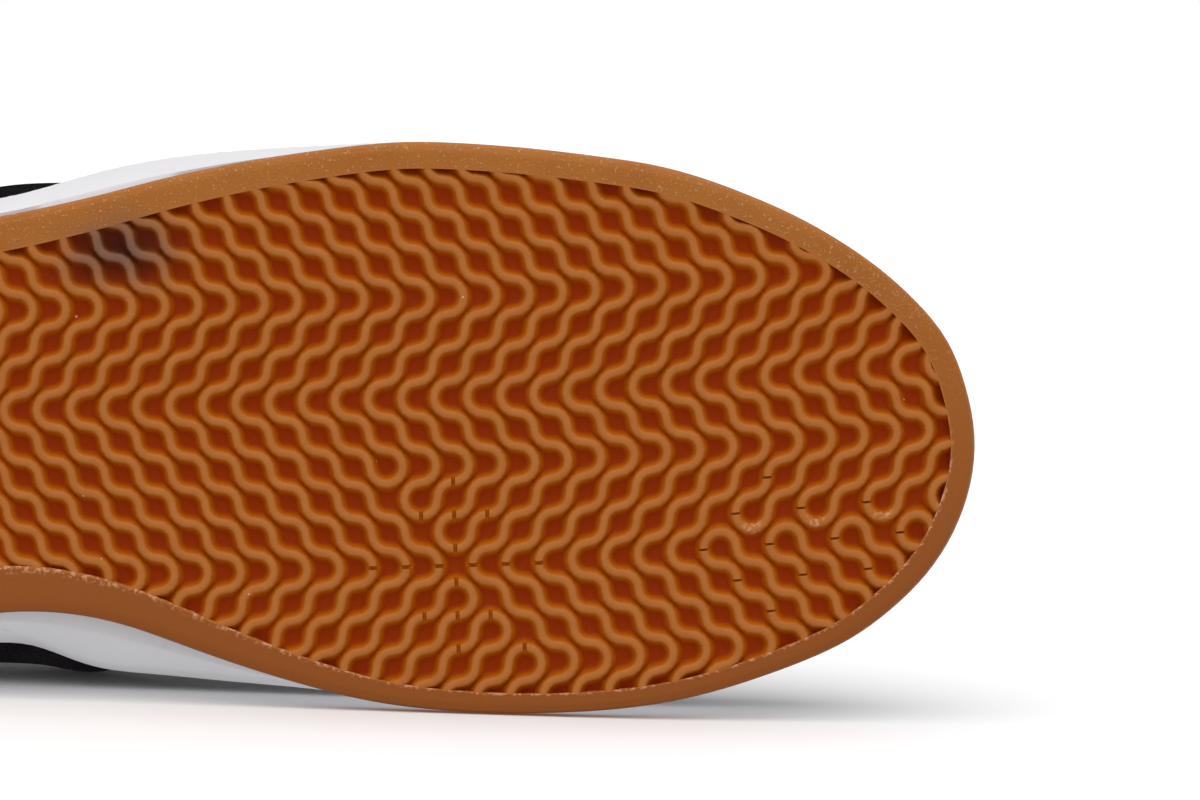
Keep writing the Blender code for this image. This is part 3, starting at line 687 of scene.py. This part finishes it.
# %% The tread from the chart
def leans_back(column, row):
    """Whether a tile's ridges bend round its heel-side outer corner and the opposite one."""
    if row == -1 and column >= 8:
        return column % 2 == 1
    if -3 <= row <= -1:
        return column >= row + 1
    if 0 <= row <= 2:
        return column < row
    return -8 <= row <= -6 or row >= 3


CHART_COLUMNS, CHART_ROWS = range(-33, 18), range(-14, 7)
TILE_OUTSIDE, TREAD_OUTSIDE = 0.0045, 0.0012
UPRIGHT_SLITS = [(0, row, STAR_SLIT) for row in range(-3, 3)]
UPRIGHT_SLITS += [(line, row, STAR_SLIT) for line in (-1, 1) for row in (-2, 1)] + [(2, 2, STAR_SLIT)]
LEVEL_SLITS = [(column, 0, STAR_SLIT) for column in range(-3, 3)]
LEVEL_SLITS += [(column, 0, TOE_SLIT) for column in (7, 9, 11, 13)]
LEVEL_SLITS += [(column, line, TOE_SLIT) for line in (-1, 1) for column in (8, 10, 12)]
LEVEL_SLITS += [(9, line, TOE_SLIT) for line in (-2, 2)]
slits_of = defaultdict(list)
for line, row, half in UPRIGHT_SLITS:
    slits_of[line, row].append(("left", half))
    slits_of[line - 1, row].append(("right", half))
for column, line, half in LEVEL_SLITS:
    slits_of[column, line].append(("near", half))
    slits_of[column, line - 1].append(("far", half))

rim_line = inner_edge[np.argsort(np.arctan2(inner_edge[:, 1], inner_edge[:, 0] - FIELD_MIDDLE))][:, :2]


def past_rim(places):
    """How far each place lies outside the rim's inner line, in metres, or less than 0 inside it."""
    nearest = np.full(len(places), 9.0)
    inside = np.zeros(len(places), dtype=bool)
    for start, end in zip(rim_line, np.roll(rim_line, -1, axis=0)):
        way = end - start
        share = np.clip((places - start) @ way / (way @ way), 0.0, 1.0)
        nearest = np.minimum(nearest, lengths(places - start - share[:, None] * way))
        spans = (start[1] > places[:, 1]) != (end[1] > places[:, 1])
        if start[1] != end[1]:
            crossing = start[0] + (places[:, 1] - start[1]) * way[0] / way[1]
            inside ^= spans & (places[:, 0] < crossing)
    return np.where(inside, -nearest, nearest)


def drift(x):
    return TREAD_DRIFT * np.maximum(x - SPRING_START, 0.0)


copies = []
for column in CHART_COLUMNS:
    for row in CHART_ROWS:
        x = STAR_X + (column + 0.5) * TILE_LONG
        y = STAR_Y + (row + 0.5) * TILE_ACROSS
        if past_rim(np.array([[x, y - drift(x)]]))[0] > TILE_OUTSIDE:
            continue
        source = tile_like(leans_back(column, row), tuple(sorted(slits_of[column, row])))
        mesh = source.data.copy()
        mesh.transform(Matrix.Translation((STAR_X + column * TILE_LONG, STAR_Y + row * TILE_ACROSS, 0.0))
                       @ Matrix.Diagonal((TILE_LONG, TILE_ACROSS, 1.0, 1.0)))
        copies.append(new_object("tread", mesh))
print("tiles", len(copies), "from", len(made_tiles), "models")
for done in [tile] + list(made_tiles.values()):
    bpy.data.objects.remove(done)
alone(copies[0])
for piece in copies:
    piece.select_set(True)
bpy.ops.object.join()
tread = bpy.context.object
tread.name = "tread"

# %% Trim, close and bend the tread
shape(tread)
merge(0.00002)
leave()
rows = points_of(tread)
rows[:, 1] -= drift(rows[:, 0])
put_points(tread, rows)
middles = np.empty(len(tread.data.polygons) * 3)
tread.data.polygons.foreach_get("center", middles)
outside = past_rim(middles.reshape(-1, 3)[:, :2]) > TREAD_OUTSIDE
shape(tread, "FACE")
pick("faces", lambda face: outside[face.index])
bpy.ops.mesh.delete(type="FACE")
bpy.ops.mesh.select_mode(type="EDGE")
pick("edges", lambda edge: edge.is_boundary)
bpy.ops.mesh.extrude_edges_move(TRANSFORM_OT_translate={"value": (0.0, 0.0, 0.001)})
flatten(GROOVE_FLOOR + 0.001)
bpy.ops.mesh.edge_face_add()
leave()
rows = points_of(tread)
keep_value(tread, "deep", np.clip(rows[:, 2] / GROOVE_FLOOR, 0.0, 1.0))
rows[:, 2] += spring(rows[:, 0])
put_points(tread, rows)
settle(tread, gum, "gum_rubber", angle=50.0)

rows = points_of(rim)
inside = past_rim(rows[:, :2]) < 0.0004
keep_value(rim, "deep", np.where(inside, (rows[:, 2] - spring(rows[:, 0])) / GROOVE_FLOOR, -1.0))
keep_value(rim, "wall", inside)
settle(rim, gum, "gum_rubber", "outsole", angle=35.0)

# %% [markdown]
# Seams are sewn after a piece has its form. A line, such as a panel's outline moved in from its edge, is
# laid on the surface, and one stitch is copied to even places along it. The same lines tell how far each
# point is from an edge, for wear, padding and sewn furrows.

# %% Lines on a surface
FOOT_REACH, FOOT_HEIGHT = (0.05, 0.24), 0.03
FINE_STEP = 0.0015


def surface_of(piece):
    """The piece's surface, ready to be asked for its nearest point."""
    return BVHTree.FromPolygons([v.co[:] for v in piece.data.vertices],
                                [face.vertices[:] for face in piece.data.polygons])


def outwards(rows):
    """For each place, the direction away from the middle of the foot."""
    rows = np.atleast_2d(rows)
    core = np.zeros_like(rows)
    core[:, 0] = np.clip(rows[:, 0], *FOOT_REACH)
    core[:, 2] = FOOT_HEIGHT
    return unit(rows - core)


def looks_out(face):
    return face.normal.dot(Vector(outwards(face.calc_center_median()[:])[0])) > 0.35


def even_steps(line, pitch, closed=True):
    """Places along a line at an even pitch."""
    line = np.vstack([line, line[:1]]) if closed else np.asarray(line)
    walked = walk(line)
    at = np.linspace(0.0, walked[-1], max(int(round(walked[-1] / pitch)), 2), endpoint=not closed)
    return np.stack([np.interp(at, walked, line[:, axis]) for axis in range(3)], axis=1)


def outlines(piece):
    """The closed lines round the faces that look outwards, the longest first."""
    bm = bmesh.new()
    bm.from_mesh(piece.data)
    bm.normal_update()
    bm.verts.ensure_lookup_table()
    chosen = {face for face in bm.faces if looks_out(face)}
    links = {}
    for edge in bm.edges:
        if len([face for face in edge.link_faces if face in chosen]) == 1:
            first, second = (v.index for v in edge.verts)
            links.setdefault(first, []).append(second)
            links.setdefault(second, []).append(first)
    lines = []
    while any(links.values()):
        here = next(index for index in links if links[index])
        line = [here]
        while links[here]:
            there = links[here].pop()
            links[there].remove(here)
            line.append(there)
            here = there
        lines.append(np.array([bm.verts[index].co[:] for index in line[:-1]]))
    bm.free()
    return sorted(lines, key=lambda line: -walk(line)[-1])


def snap(line, surface):
    return np.array([surface.find_nearest(Vector(spot))[0] for spot in line])


def snap_out(line, surface):
    """Each place moved to the outer side of a wall, found from outside."""
    found = []
    for spot, away in zip(line, outwards(line)):
        place = surface.ray_cast(Vector(spot + away * 0.012), Vector(-away), 0.03)[0]
        found.append(place if place is not None else surface.find_nearest(Vector(spot))[0])
    return np.array(found)


def move_in(line, surface, distance):
    """The outline of a panel moved in from its edge, with its corners eased."""
    line = even_steps(line, 0.002)
    ahead = np.roll(line, -1, axis=0) - np.roll(line, 1, axis=0)
    aside = unit(np.cross(ahead, outwards(line)))
    moved = min((line + aside * side * distance for side in (1, -1)),
                key=lambda spots: sum(surface.find_nearest(Vector(spot))[3] for spot in spots))
    for _ in range(3):
        moved = (moved * 2 + np.roll(moved, 1, axis=0) + np.roll(moved, -1, axis=0)) / 4
    return snap(moved, surface)


def far_from(rows, line):
    """How far each place lies from the nearest place of a finely stepped line."""
    return np.min([lengths(rows - spot) for spot in line], axis=0)


def furrow(away, deep, wide):
    """How deep a soft furrow is at distances from its line."""
    return deep * np.exp(-(away / wide) ** 2)


def swell(piece, amounts):
    """Move each point of a standing piece outwards by its amount."""
    rows = points_of(piece)
    put_points(piece, rows + outwards(rows) * amounts[:, None])


# %% Sewing
def sew(name, line, piece, finish, slot, length=0.0023, gap=0.0009, width=0.00075, closed=True):
    """Copy one stitch to even places along a line on a standing piece."""
    surface = surface_of(piece)
    bpy.ops.mesh.primitive_uv_sphere_add(segments=6, ring_count=4, radius=0.5)
    stitch = bpy.context.object
    shape(stitch)
    pick_all()
    bpy.ops.transform.rotate(value=math.pi / 2, orient_axis="Y", center_override=(0.0, 0.0, 0.0))
    bpy.ops.transform.resize(value=(length, width, width * 0.8))
    leave()
    spots = even_steps(line, length + gap, closed)
    ways = np.roll(spots, -1, axis=0) - np.roll(spots, 1, axis=0) if closed else np.gradient(spots, axis=0)
    row = bmesh.new()
    for spot, way in zip(spots, ways):
        place, normal = surface.find_nearest(Vector(spot + outwards(spot)[0] * 0.0005))[:2]
        along_row = (Vector(way) - normal * normal.dot(Vector(way))).normalized()
        stand = Matrix((along_row, normal.cross(along_row), normal)).transposed().to_4x4()
        stand.translation = place + normal * width * 0.08
        copy = stitch.data.copy()
        copy.transform(stand)
        row.from_mesh(copy)
    row.to_mesh(stitch.data)
    row.free()
    stitch.name = name
    print(name, "has", len(spots), "stitches")
    settle(stitch, finish, slot)


# %% [markdown]
# The cup is one moulding of white rubber that rises past the gum like a shallow dish. It is sewn to the
# upper by a row of stitches just under its lip. Each point keeps its share of the wall's height, and the
# finish presses a channel where the row runs and paints shade into it.

# %% White rubber cup
CUP_BASE = 0.0061
LIP_SHARE = 0.90
ROW_SHARE = 0.97

white = Finish("white_rubber", Roughness=0.45, Specular_IOR_Level=0.25)
rise = white.kept("rise")
cloud = white.noise(0.03, 3.0)
white_plain = white.mix(cloud, (0.61, 0.60, 0.62), (0.67, 0.66, 0.68))
grime = white.range(white.noise(0.006, 5.0, 0.6), 0.56, 0.72) * white.range(rise, 0.5, 0.05, 0.05, 0.22)
white_used = white.mix(grime, white_plain, (0.36, 0.34, 0.33))
# Painted shade: the channel under the lip is darkened in colour as well as pressed in by the bump
channel_and_its_shade = white.range(abs(rise - ROW_SHARE), 0.05, 0.03)
white.feed("Base Color", white.mix(channel_and_its_shade * 0.35, white_used, (0.44, 0.43, 0.44)))
white.feed("Roughness", white.range(cloud, 0.3, 0.7, 0.42, 0.55))
white.bump(white.noise(0.0007) * 0.10 + white.noise(0.003) * 0.12 - channel_and_its_shade * 0.8, 0.0006, 0.8)

cup = standing_copy("midsole", "midsole_cup")
rows = points_of(cup)
levels = rows[:, 2] - spring(rows[:, 0])
stations = np.arange(0.0, 0.311, 0.01)[1:-1]
tops = [levels[np.abs(rows[:, 0] - at) < 0.009].max() for at in stations]


def wall_height(rows):
    """The height of the cup's wall over the gum at each place along it."""
    return np.interp(rows[:, 0], stations, tops) - CUP_BASE


def wall_share(rows):
    """The share of the wall's height at which each place lies."""
    return (rows[:, 2] - spring(rows[:, 0]) - CUP_BASE) / wall_height(rows)


ring = rows[np.abs(wall_share(rows) - LIP_SHARE) < 0.05]
ring = ring[np.argsort(np.arctan2(ring[:, 1], ring[:, 0] - FIELD_MIDDLE))]
ring[:, 2] += (ROW_SHARE - LIP_SHARE) * wall_height(ring)
round_off(cup, 2, held=40)
keep_value(cup, "rise", wall_share(points_of(cup)))
thread_white = two_tones("white_thread", 0.0005, (0.55, 0.55, 0.56), (0.72, 0.72, 0.73), Roughness=0.7)
sew("cup_stitches", snap(ring, surface_of(cup)), cup, thread_white, "white_rubber", 0.0034, 0.0013, 0.0007)
settle(cup, white, "white_rubber", "midsole", angle=35.0)

# %% [markdown]
# Suede is leather brushed to a short soft nap. It drinks light, so it is almost black; brushed patches and
# worn edges show grey, the tips of the nap are painted lighter as a painted sheen, and the crests of the
# folds carry a painted highlight. The eyestay and the heel panel are grained leather of the same black,
# which shines a little and wears grey along its cut edge.

# %% Black finishes
suede = Finish("black_suede", Roughness=0.95, Specular_IOR_Level=0.0)
brushed = suede.range(suede.noise(0.012, 3.0, 0.6), 0.35, 0.7)
nap_and_sheen = suede.noise(0.0005, 3.0, 0.7)
rubbed = suede.kept("rubbed")
suede_deep = suede.mix(brushed, (0.0062, 0.0050, 0.0060), (0.0098, 0.0085, 0.0096))
# Painted sheen: the tips of the nap are a lighter grey
suede_painted_sheen = suede.mix(suede.range(nap_and_sheen, 0.5, 0.8), suede_deep, (0.027, 0.025, 0.027))
# Painted highlight on the crests of the folds, with real wear along the collar's edge
suede.feed("Base Color", suede.mix(rubbed, suede_painted_sheen, (0.034, 0.031, 0.032)))
suede.bump(nap_and_sheen * 0.7 + suede.noise(0.0016, 3.0) * 0.5, 0.00035, 0.9)

leather = Finish("black_leather", Specular_IOR_Level=0.22)
near_edge = leather.kept("rubbed")
pores = leather.node("TexVoronoi", {"feature": "DISTANCE_TO_EDGE"},
                     {"Vector": leather.place(), "Scale": 900.0})
grain = leather.range(pores, 0.0, 0.22)
leather_plain = leather.mix(leather.noise(0.01), (0.0055, 0.005, 0.0055), (0.0105, 0.0098, 0.0105))
leather.feed("Base Color", leather.mix(near_edge * leather.range(leather.noise(0.002, 4.0), 0.4, 0.65),
                                       leather_plain, (0.075, 0.070, 0.068)))
leather.feed("Roughness", leather.range(grain, 0.0, 1.0, 0.68, 0.46))
leather.bump(grain * 0.6 + leather.noise(0.004) * 0.8, 0.00022, 0.8)

knit = Finish("black_lining", Roughness=0.95, Specular_IOR_Level=0.1)
cells = knit.node("TexVoronoi", {"feature": "F1"}, {"Vector": knit.place((1.0, 1.5, 1.0)), "Scale": 620.0},
                  "Distance")
holes = knit.range(cells, 0.28, 0.10)
knit_plain = knit.mix(knit.noise(0.008), (0.014, 0.013, 0.014), (0.024, 0.022, 0.024))
knit.feed("Base Color", knit.mix(holes, knit_plain, (0.003, 0.003, 0.003)))
knit.bump(1.0 - holes, 0.0004, 0.9)

thread = two_tones("black_thread", 0.0005, (0.030, 0.030, 0.032), (0.070, 0.069, 0.072), Roughness=0.55,
                   Specular_IOR_Level=0.4)

# %% [markdown]
# A worn upper folds where the foot bends. Each fold is a short line on the skin, and the leather sinks
# along it and rises in a soft ridge on both sides, in every layer that lies there. Round the ankle, the
# padding swells between the top line and its sewn furrow.

# %% Creases and padding
upper = standing_copy("upper", "upper_shell")
round_off(upper, 2, held=40)
upper_skin = surface_of(upper)

# Folds: the places they run through in millimetres, then how deep and how wide they are
FOLDS = (
    (((206, 49, 33), (203, 46, 42), (199, 40, 50), (198, 30, 55)), 1.5, 3.2),
    (((192, 49, 32), (191, 46, 43), (188, 40, 51), (186, 36, 55)), 1.2, 2.8),
    (((221, 47, 34), (219, 43, 42), (214, 34, 50), (211, 24, 54)), 1.0, 3.0),
    (((216, -46, 33), (211, -43, 42), (205, -37, 50), (203, -27, 55)), 1.5, 3.2),
    (((202, -48, 32), (197, -46, 43), (192, -40, 51), (190, -36, 54)), 1.2, 2.8),
    (((229, -43, 34), (226, -39, 43), (220, -30, 50), (216, -20, 54)), 1.0, 3.0),
    (((216, 18, 55), (214, 8, 58), (214, -6, 58), (217, -17, 55)), 1.1, 3.0),
    (((229, 14, 53), (227, 4, 55), (228, -8, 55), (231, -15, 52)), 0.7, 3.2),
    (((152, 47, 31), (143, 47, 42), (135, 44, 58)), 0.45, 4.5),
    (((158, -50, 31), (149, -50, 43), (140, -46, 59)), 0.45, 4.5),
    (((97, 41, 36), (88, 41, 46), (80, 38, 58)), 0.4, 5.0),
    (((101, -42, 35), (92, -42, 45), (82, -39, 58)), 0.4, 5.0),
)
fold_lines = []
for places, sunk, wide in FOLDS:
    line = even_steps(snap_out(mm(places), upper_skin), FINE_STEP, closed=False)
    fold_lines.append((snap_out(line, upper_skin), sunk / 1000.0, wide / 1000.0))


def fold(piece):
    """Press the folds into a standing piece, with a soft ridge beside each."""
    rows = points_of(piece)
    moves = np.zeros(len(rows))
    for line, sunk, wide in fold_lines:
        gaps = lengths(rows[:, None, :] - line[None, :, :])
        nearest = gaps.argmin(axis=1)
        away = gaps[np.arange(len(rows)), nearest]
        ends = np.sin(np.pi * np.clip(nearest / (len(line) - 1.0), 0.06, 0.94)) ** 0.6
        moves += ends * sunk * (0.55 * np.exp(-((away - wide * 1.25) / wide) ** 2 * 2.2)
                                - np.exp(-(away / wide) ** 2 * 3.0))
    swell(piece, moves)
    return moves


# Collar: the top line round the ankle, in millimetres
COLLAR = ((124, 23, 98), (115, 27, 96), (98, 32, 84), (82, 34, 74.5), (64, 34.5, 69), (47, 33.5, 70),
          (32, 29, 76), (19, 22, 82), (10.5, 11, 84.6), (9, 1, 85), (10.5, -10, 84.4), (20, -21, 82),
          (33, -28.5, 74), (50, -33, 67), (66, -33.5, 68), (84, -33, 73.7), (100, -31, 84),
          (115, -26.4, 96.3), (124, -23, 98))
PAD_HEIGHT, PAD_SWELL, PAD_FRONT = 0.014, 0.0017, 0.118
SEAM_BELOW, SEAM_FRONT = 0.0145, 0.119

collar_line = even_steps(mm(COLLAR), 0.002, closed=False)
rows = points_of(upper)
below = far_from(rows, collar_line)
fades = np.clip((PAD_FRONT - rows[:, 0]) / 0.02, 0.0, 1.0)
padding = PAD_SWELL * np.sin(np.pi * np.clip(below / PAD_HEIGHT, 0.0, 1.0))
swell(upper, (padding - furrow(below - SEAM_BELOW, 0.0008, 0.0014)) * fades)
moves = fold(upper)
on_edge = np.clip(1.0 - below / 0.002, 0.0, 1.0)
# The kept number is real wear along the collar's edge and a painted highlight on the crests of the folds
keep_value(upper, "rubbed", np.clip(moves / 0.0020, 0.0, 0.25) + on_edge * 0.35)
print("folds sink", round(-moves.min() * 1000, 2), "mm and rise", round(moves.max() * 1000, 2), "mm")

# %% Seams of the upper
collar_row = []
for spot in collar_line:
    if spot[0] < SEAM_FRONT:
        collar_row.append(spot + np.array([0.0, outwards(spot)[0][1] * 0.002, -SEAM_BELOW]))
collar_row = np.array(collar_row)
for _ in range(12):
    collar_row[1:-1] = (collar_row[:-2] + collar_row[1:-1] * 2 + collar_row[2:]) / 4
upper_now = surface_of(upper)
sew("collar_stitches", snap_out(collar_row, upper_now), upper, thread, "black_suede", closed=False)
QUARTERS = (((190, 36, 57.5), (183, 42, 50), (173, 46, 40), (166, 47.5, 31)),
            ((190, -36, 57), (184, -41, 50), (175, -46.5, 41), (168, -50, 32)))
for side, places in zip(("inner", "outer"), QUARTERS):
    for number, shift in enumerate((0.0, 0.0025)):
        line = even_steps(mm(places) + np.array([-shift, 0.0, 0.0]), 0.002, closed=False)
        sew("quarter_stitches_%s_%d" % (side, number), snap_out(line, upper_now), upper, thread,
            "black_suede", closed=False)

# %% Lining inside the upper
settle(upper, suede, "black_suede", "upper", angle=50.0)
upper.data.materials.append(knit.material)
inside = 0
for face in upper.data.polygons:
    spot = stand_up @ face.center
    if (stand_up.to_3x3() @ face.normal).dot(Vector(outwards(spot[:])[0])) < -0.1:
        face.material_index = 1
        inside += 1
print("lining faces", inside)

# %% [markdown]
# The eyestay and the heel panel are cut from leather and sewn down on the upper with two rows. They keep
# their cut edge, follow the same folds and sink a little along each row. The distance from the outline
# drives the grey wear at the edge.

# %% Leather panels
ROWS_IN = (0.0022, 0.0048)
SEAM_DEEP, SEAM_WIDE = 0.00022, 0.0009


def leather_panel(node, name):
    """A packed panel with its edge, folds and rows of stitches, at distances in from its edge."""
    panel = standing_copy(node, name)
    outline = outlines(panel)[0]
    round_off(panel, 2, held=40)
    fold(panel)
    surface = surface_of(panel)
    seams = [move_in(outline, surface, inset) for inset in ROWS_IN]
    rows = points_of(panel)
    edge = far_from(rows, even_steps(outline, FINE_STEP))
    swell(panel, -sum(furrow(far_from(rows, even_steps(seam, FINE_STEP)), SEAM_DEEP, SEAM_WIDE)
                      for seam in seams))
    keep_value(panel, "rubbed", np.clip(1.0 - edge / 0.0016, 0.0, 1.0))
    for number, seam in enumerate(seams):
        sew("%s_stitches_%d" % (name, number), seam, panel, thread, "black_leather")
    settle(panel, leather, "black_leather", node, angle=40.0)


leather_panel("eyestay", "eyestay_panel")
leather_panel("heel_counter", "heel_panel")

# %% [markdown]
# The tongue is a pad of foam in knit, rounded all over and sewn down by one row inside its edge. The
# insole is a knit sock over foam, and keeps its cut edge.

# %% Tongue and insole
tongue = standing_copy("tongue", "tongue_pad")
tongue_edge = outlines(tongue)[0]
round_off(tongue, 2, passes=2)
tongue_skin = surface_of(tongue)
binding = move_in(tongue_edge, tongue_skin, 0.004)
swell(tongue, -furrow(far_from(points_of(tongue), even_steps(binding, FINE_STEP)), 0.0006, 0.0014))
sew("tongue_stitches", binding, tongue, thread, "black_lining")
settle(tongue, knit, "black_lining", "tongue", angle=60.0)

insole = standing_copy("insole", "insole_bed")
round_off(insole, 1, held=40)
settle(insole, knit, "black_lining", "insole", angle=50.0)

# %% [markdown]
# One flat woven lace runs through all the eyelets: a bar across the front pair, then a crossing for each
# pair above, up through the hole from below and out over the edge. It pinches where it passes a hole. The
# route is written down for half a lace and mirrored. Its ends stop inside the top eyelets.

# %% Route of the lace
# Eyelets of the inner side from the front, then of the outer: hole and edge of the throat in millimetres
HOLES = (
    ((198.8, 22.6, 57.9), (185.5, 26.0, 62.5), (172.7, 27.2, 67.7), (159.8, 27.7, 74.0),
     (147.0, 28.6, 80.0), (133.7, 29.3, 87.8)),
    ((199.2, -22.5, 57.7), (185.3, -26.1, 62.5), (172.5, -27.7, 67.6), (159.6, -28.2, 73.9),
     (146.8, -28.6, 80.4), (133.9, -28.9, 88.0)),
)
EDGES = ((192.6, 16.4, 62.2), (180.5, 19.4, 67.9), (168.4, 20.7, 73.8), (156.2, 21.5, 80.3),
         (144.1, 22.1, 87.1), (132.0, 22.7, 95.3))
# The ways out of the surface at the holes and at the edge
HOLE_WAYS = ((0.36, 0.21, 0.91), (0.37, 0.38, 0.85), (0.39, 0.47, 0.80), (0.39, 0.55, 0.74),
             (0.37, 0.62, 0.70), (0.41, 0.65, 0.64))
EDGE_WAYS = ((0.47, 0.20, 0.86), (0.44, 0.38, 0.82), (0.45, 0.44, 0.78), (0.44, 0.50, 0.75),
             (0.43, 0.55, 0.71), (0.48, 0.59, 0.65))
LACE_WIDE, LACE_THICK = 0.0070, 0.0013
OVER, UNDER, ON_TONGUE = 0.0031, -0.0031, -0.0026


def sided(values, side):
    """Values of the inner side, mirrored when the side is -1."""
    return np.array(values) * np.array([1.0, side, 1.0])


def hole(side, pair, lift, towards_edge=0.0):
    """A place over or under an eyelet, or part of the way from there to the edge of the throat."""
    spot = mm(HOLES[0 if side > 0 else 1][pair])
    to_edge = edge_spot(side, pair, 0.0) - spot
    return spot + sided(HOLE_WAYS[pair], side) * lift + to_edge * towards_edge


def edge_spot(side, pair, lift):
    """A place over or under the edge of the throat beside an eyelet."""
    return sided(mm(EDGES[pair]), side) + sided(EDGE_WAYS[pair], side) * lift


def across_throat(side, pair, to_pair, share, lift, to_lift):
    """A place over the throat on the way from one edge to the other, crowned by the tongue."""
    start, end = edge_spot(side, pair, lift), edge_spot(-side, to_pair, to_lift)
    fade = 0.3 + 0.7 * min((0.1966 - (start[0] + end[0]) / 2) / 0.03, 1.0)
    crown = 0.16 * fade * abs(start[1] - end[1]) * 4 * share * (1 - share)
    return start + (end - start) * share + np.array([-0.35, 0.0, 0.94]) * crown


def half_lace(side):
    """From the middle of the front bar to the top eyelet, with how pinched the lace is at each place."""
    run = [(across_throat(side, 0, 0, share, OVER, OVER), 0.0) for share in (0.5, 0.25)]
    run += [(edge_spot(side, 0, OVER), 0.0), (hole(side, 0, OVER, 0.25), 0.3), (hole(side, 0, 0.0), 1.0)]
    run += [(hole(side, 0, UNDER, 0.25), 0.3), (edge_spot(side, 0, UNDER), 0.0)]
    lift = ON_TONGUE
    for pair in range(1, 6):
        lifts = (ON_TONGUE if pair == 1 else OVER, ON_TONGUE)
        over_other = 0.0009 if (side > 0) == (pair % 2 == 0) else -0.0004
        for share in (0.2, 0.4, 0.5, 0.6, 0.8):
            spot = across_throat(side, pair - 1, pair, share, *lifts)
            if 0.3 < share < 0.7:
                spot = spot + np.array([0.4, 0.0, 0.9]) * over_other
            run.append((spot, 0.0))
        side = -side
        run += [(edge_spot(side, pair, UNDER), 0.0), (hole(side, pair, UNDER, 0.2), 0.3),
                (hole(side, pair, 0.0), 1.0)]
        if pair < 5:
            run += [(hole(side, pair, OVER, 0.2), 0.3), (edge_spot(side, pair, OVER), 0.0)]
    return run


inner_half, outer_half = half_lace(1), half_lace(-1)
route = inner_half[::-1] + outer_half[1:]
print("lace passes", len(route), "places")

# %% Weave the lace
LACE_STEP = 0.0013
LACE_SLACK = 0.8
DOWN_THROAT = np.array([0.88, 0.0, -0.47])
HALF_SECTION = ((0.5, 0.0), (0.45, 0.36), (0.22, 0.5), (-0.22, 0.5), (-0.45, 0.36))
SECTION = HALF_SECTION + tuple((-x, -y) for x, y in HALF_SECTION)

lace_points = np.array([spot for spot, pinch in route])
pinches = np.array([pinch for spot, pinch in route])
walked = walk(lace_points)
fine = np.linspace(0.0, walked[-1], int(walked[-1] / LACE_STEP))
slopes = np.gradient(lace_points, walked, axis=0)
place_in = np.clip(np.searchsorted(walked, fine, side="right") - 1, 0, len(walked) - 2)
step = (walked[place_in + 1] - walked[place_in])[:, None]
share = (fine - walked[place_in])[:, None] / step
centre = (lace_points[place_in] * (2 * share ** 3 - 3 * share ** 2 + 1)
          + lace_points[place_in + 1] * (3 * share ** 2 - 2 * share ** 3)
          + slopes[place_in] * step * (share ** 3 - 2 * share ** 2 + share) * LACE_SLACK
          + slopes[place_in + 1] * step * (share ** 3 - share ** 2) * LACE_SLACK)
pinched = np.interp(fine, walked, pinches)[:, None]
ways = unit(np.gradient(centre, axis=0))
wide = unit(DOWN_THROAT - ways * (ways @ DOWN_THROAT)[:, None])
thick = np.cross(ways, wide)
rings = [centre + wide * x * (LACE_WIDE - 0.0030 * pinched) + thick * y * (LACE_THICK + 0.0009 * pinched)
         for x, y in SECTION]
count = len(SECTION)
corners = np.stack(rings, axis=1).reshape(-1, 3)
faces = [(i + j, i + (j + 1) % count, i + count + (j + 1) % count, i + count + j)
         for i in range(0, len(corners) - count, count) for j in range(count)]
faces += [tuple(range(count)), tuple(range(len(corners) - count, len(corners)))]
mesh = bpy.data.meshes.new("lace")
mesh.from_pydata([tuple(corner) for corner in corners], [], faces)
lace = new_object("lace_run", mesh)
print("the lace is", round(walk(centre)[-1], 3), "m long")
keep_value(lace, "along", np.repeat(fine, count))
keep_value(lace, "beside", np.tile([x for x, y in SECTION], len(fine)))
shape(lace)
pick_all()
bpy.ops.mesh.normals_make_consistent(inside=False)
leave()

woven = Finish("black_lace", Roughness=0.75, Specular_IOR_Level=0.25)
beside = woven.kept("beside")
aslant = woven.kept("along") * 5200.0 + abs(beside) * 22.0
strands = aslant.sine() * (beside * 60.0).sine()
lit = woven.range(strands, -0.6, 0.7)
woven.feed("Base Color", woven.mix(lit, (0.006, 0.006, 0.007), (0.034, 0.032, 0.035)))
woven.bump(woven.range(strands, -1.0, 1.0), 0.0003, 0.9)
settle(lace, woven, "black_lace", *[node for node in nodes if node.startswith("lace")])
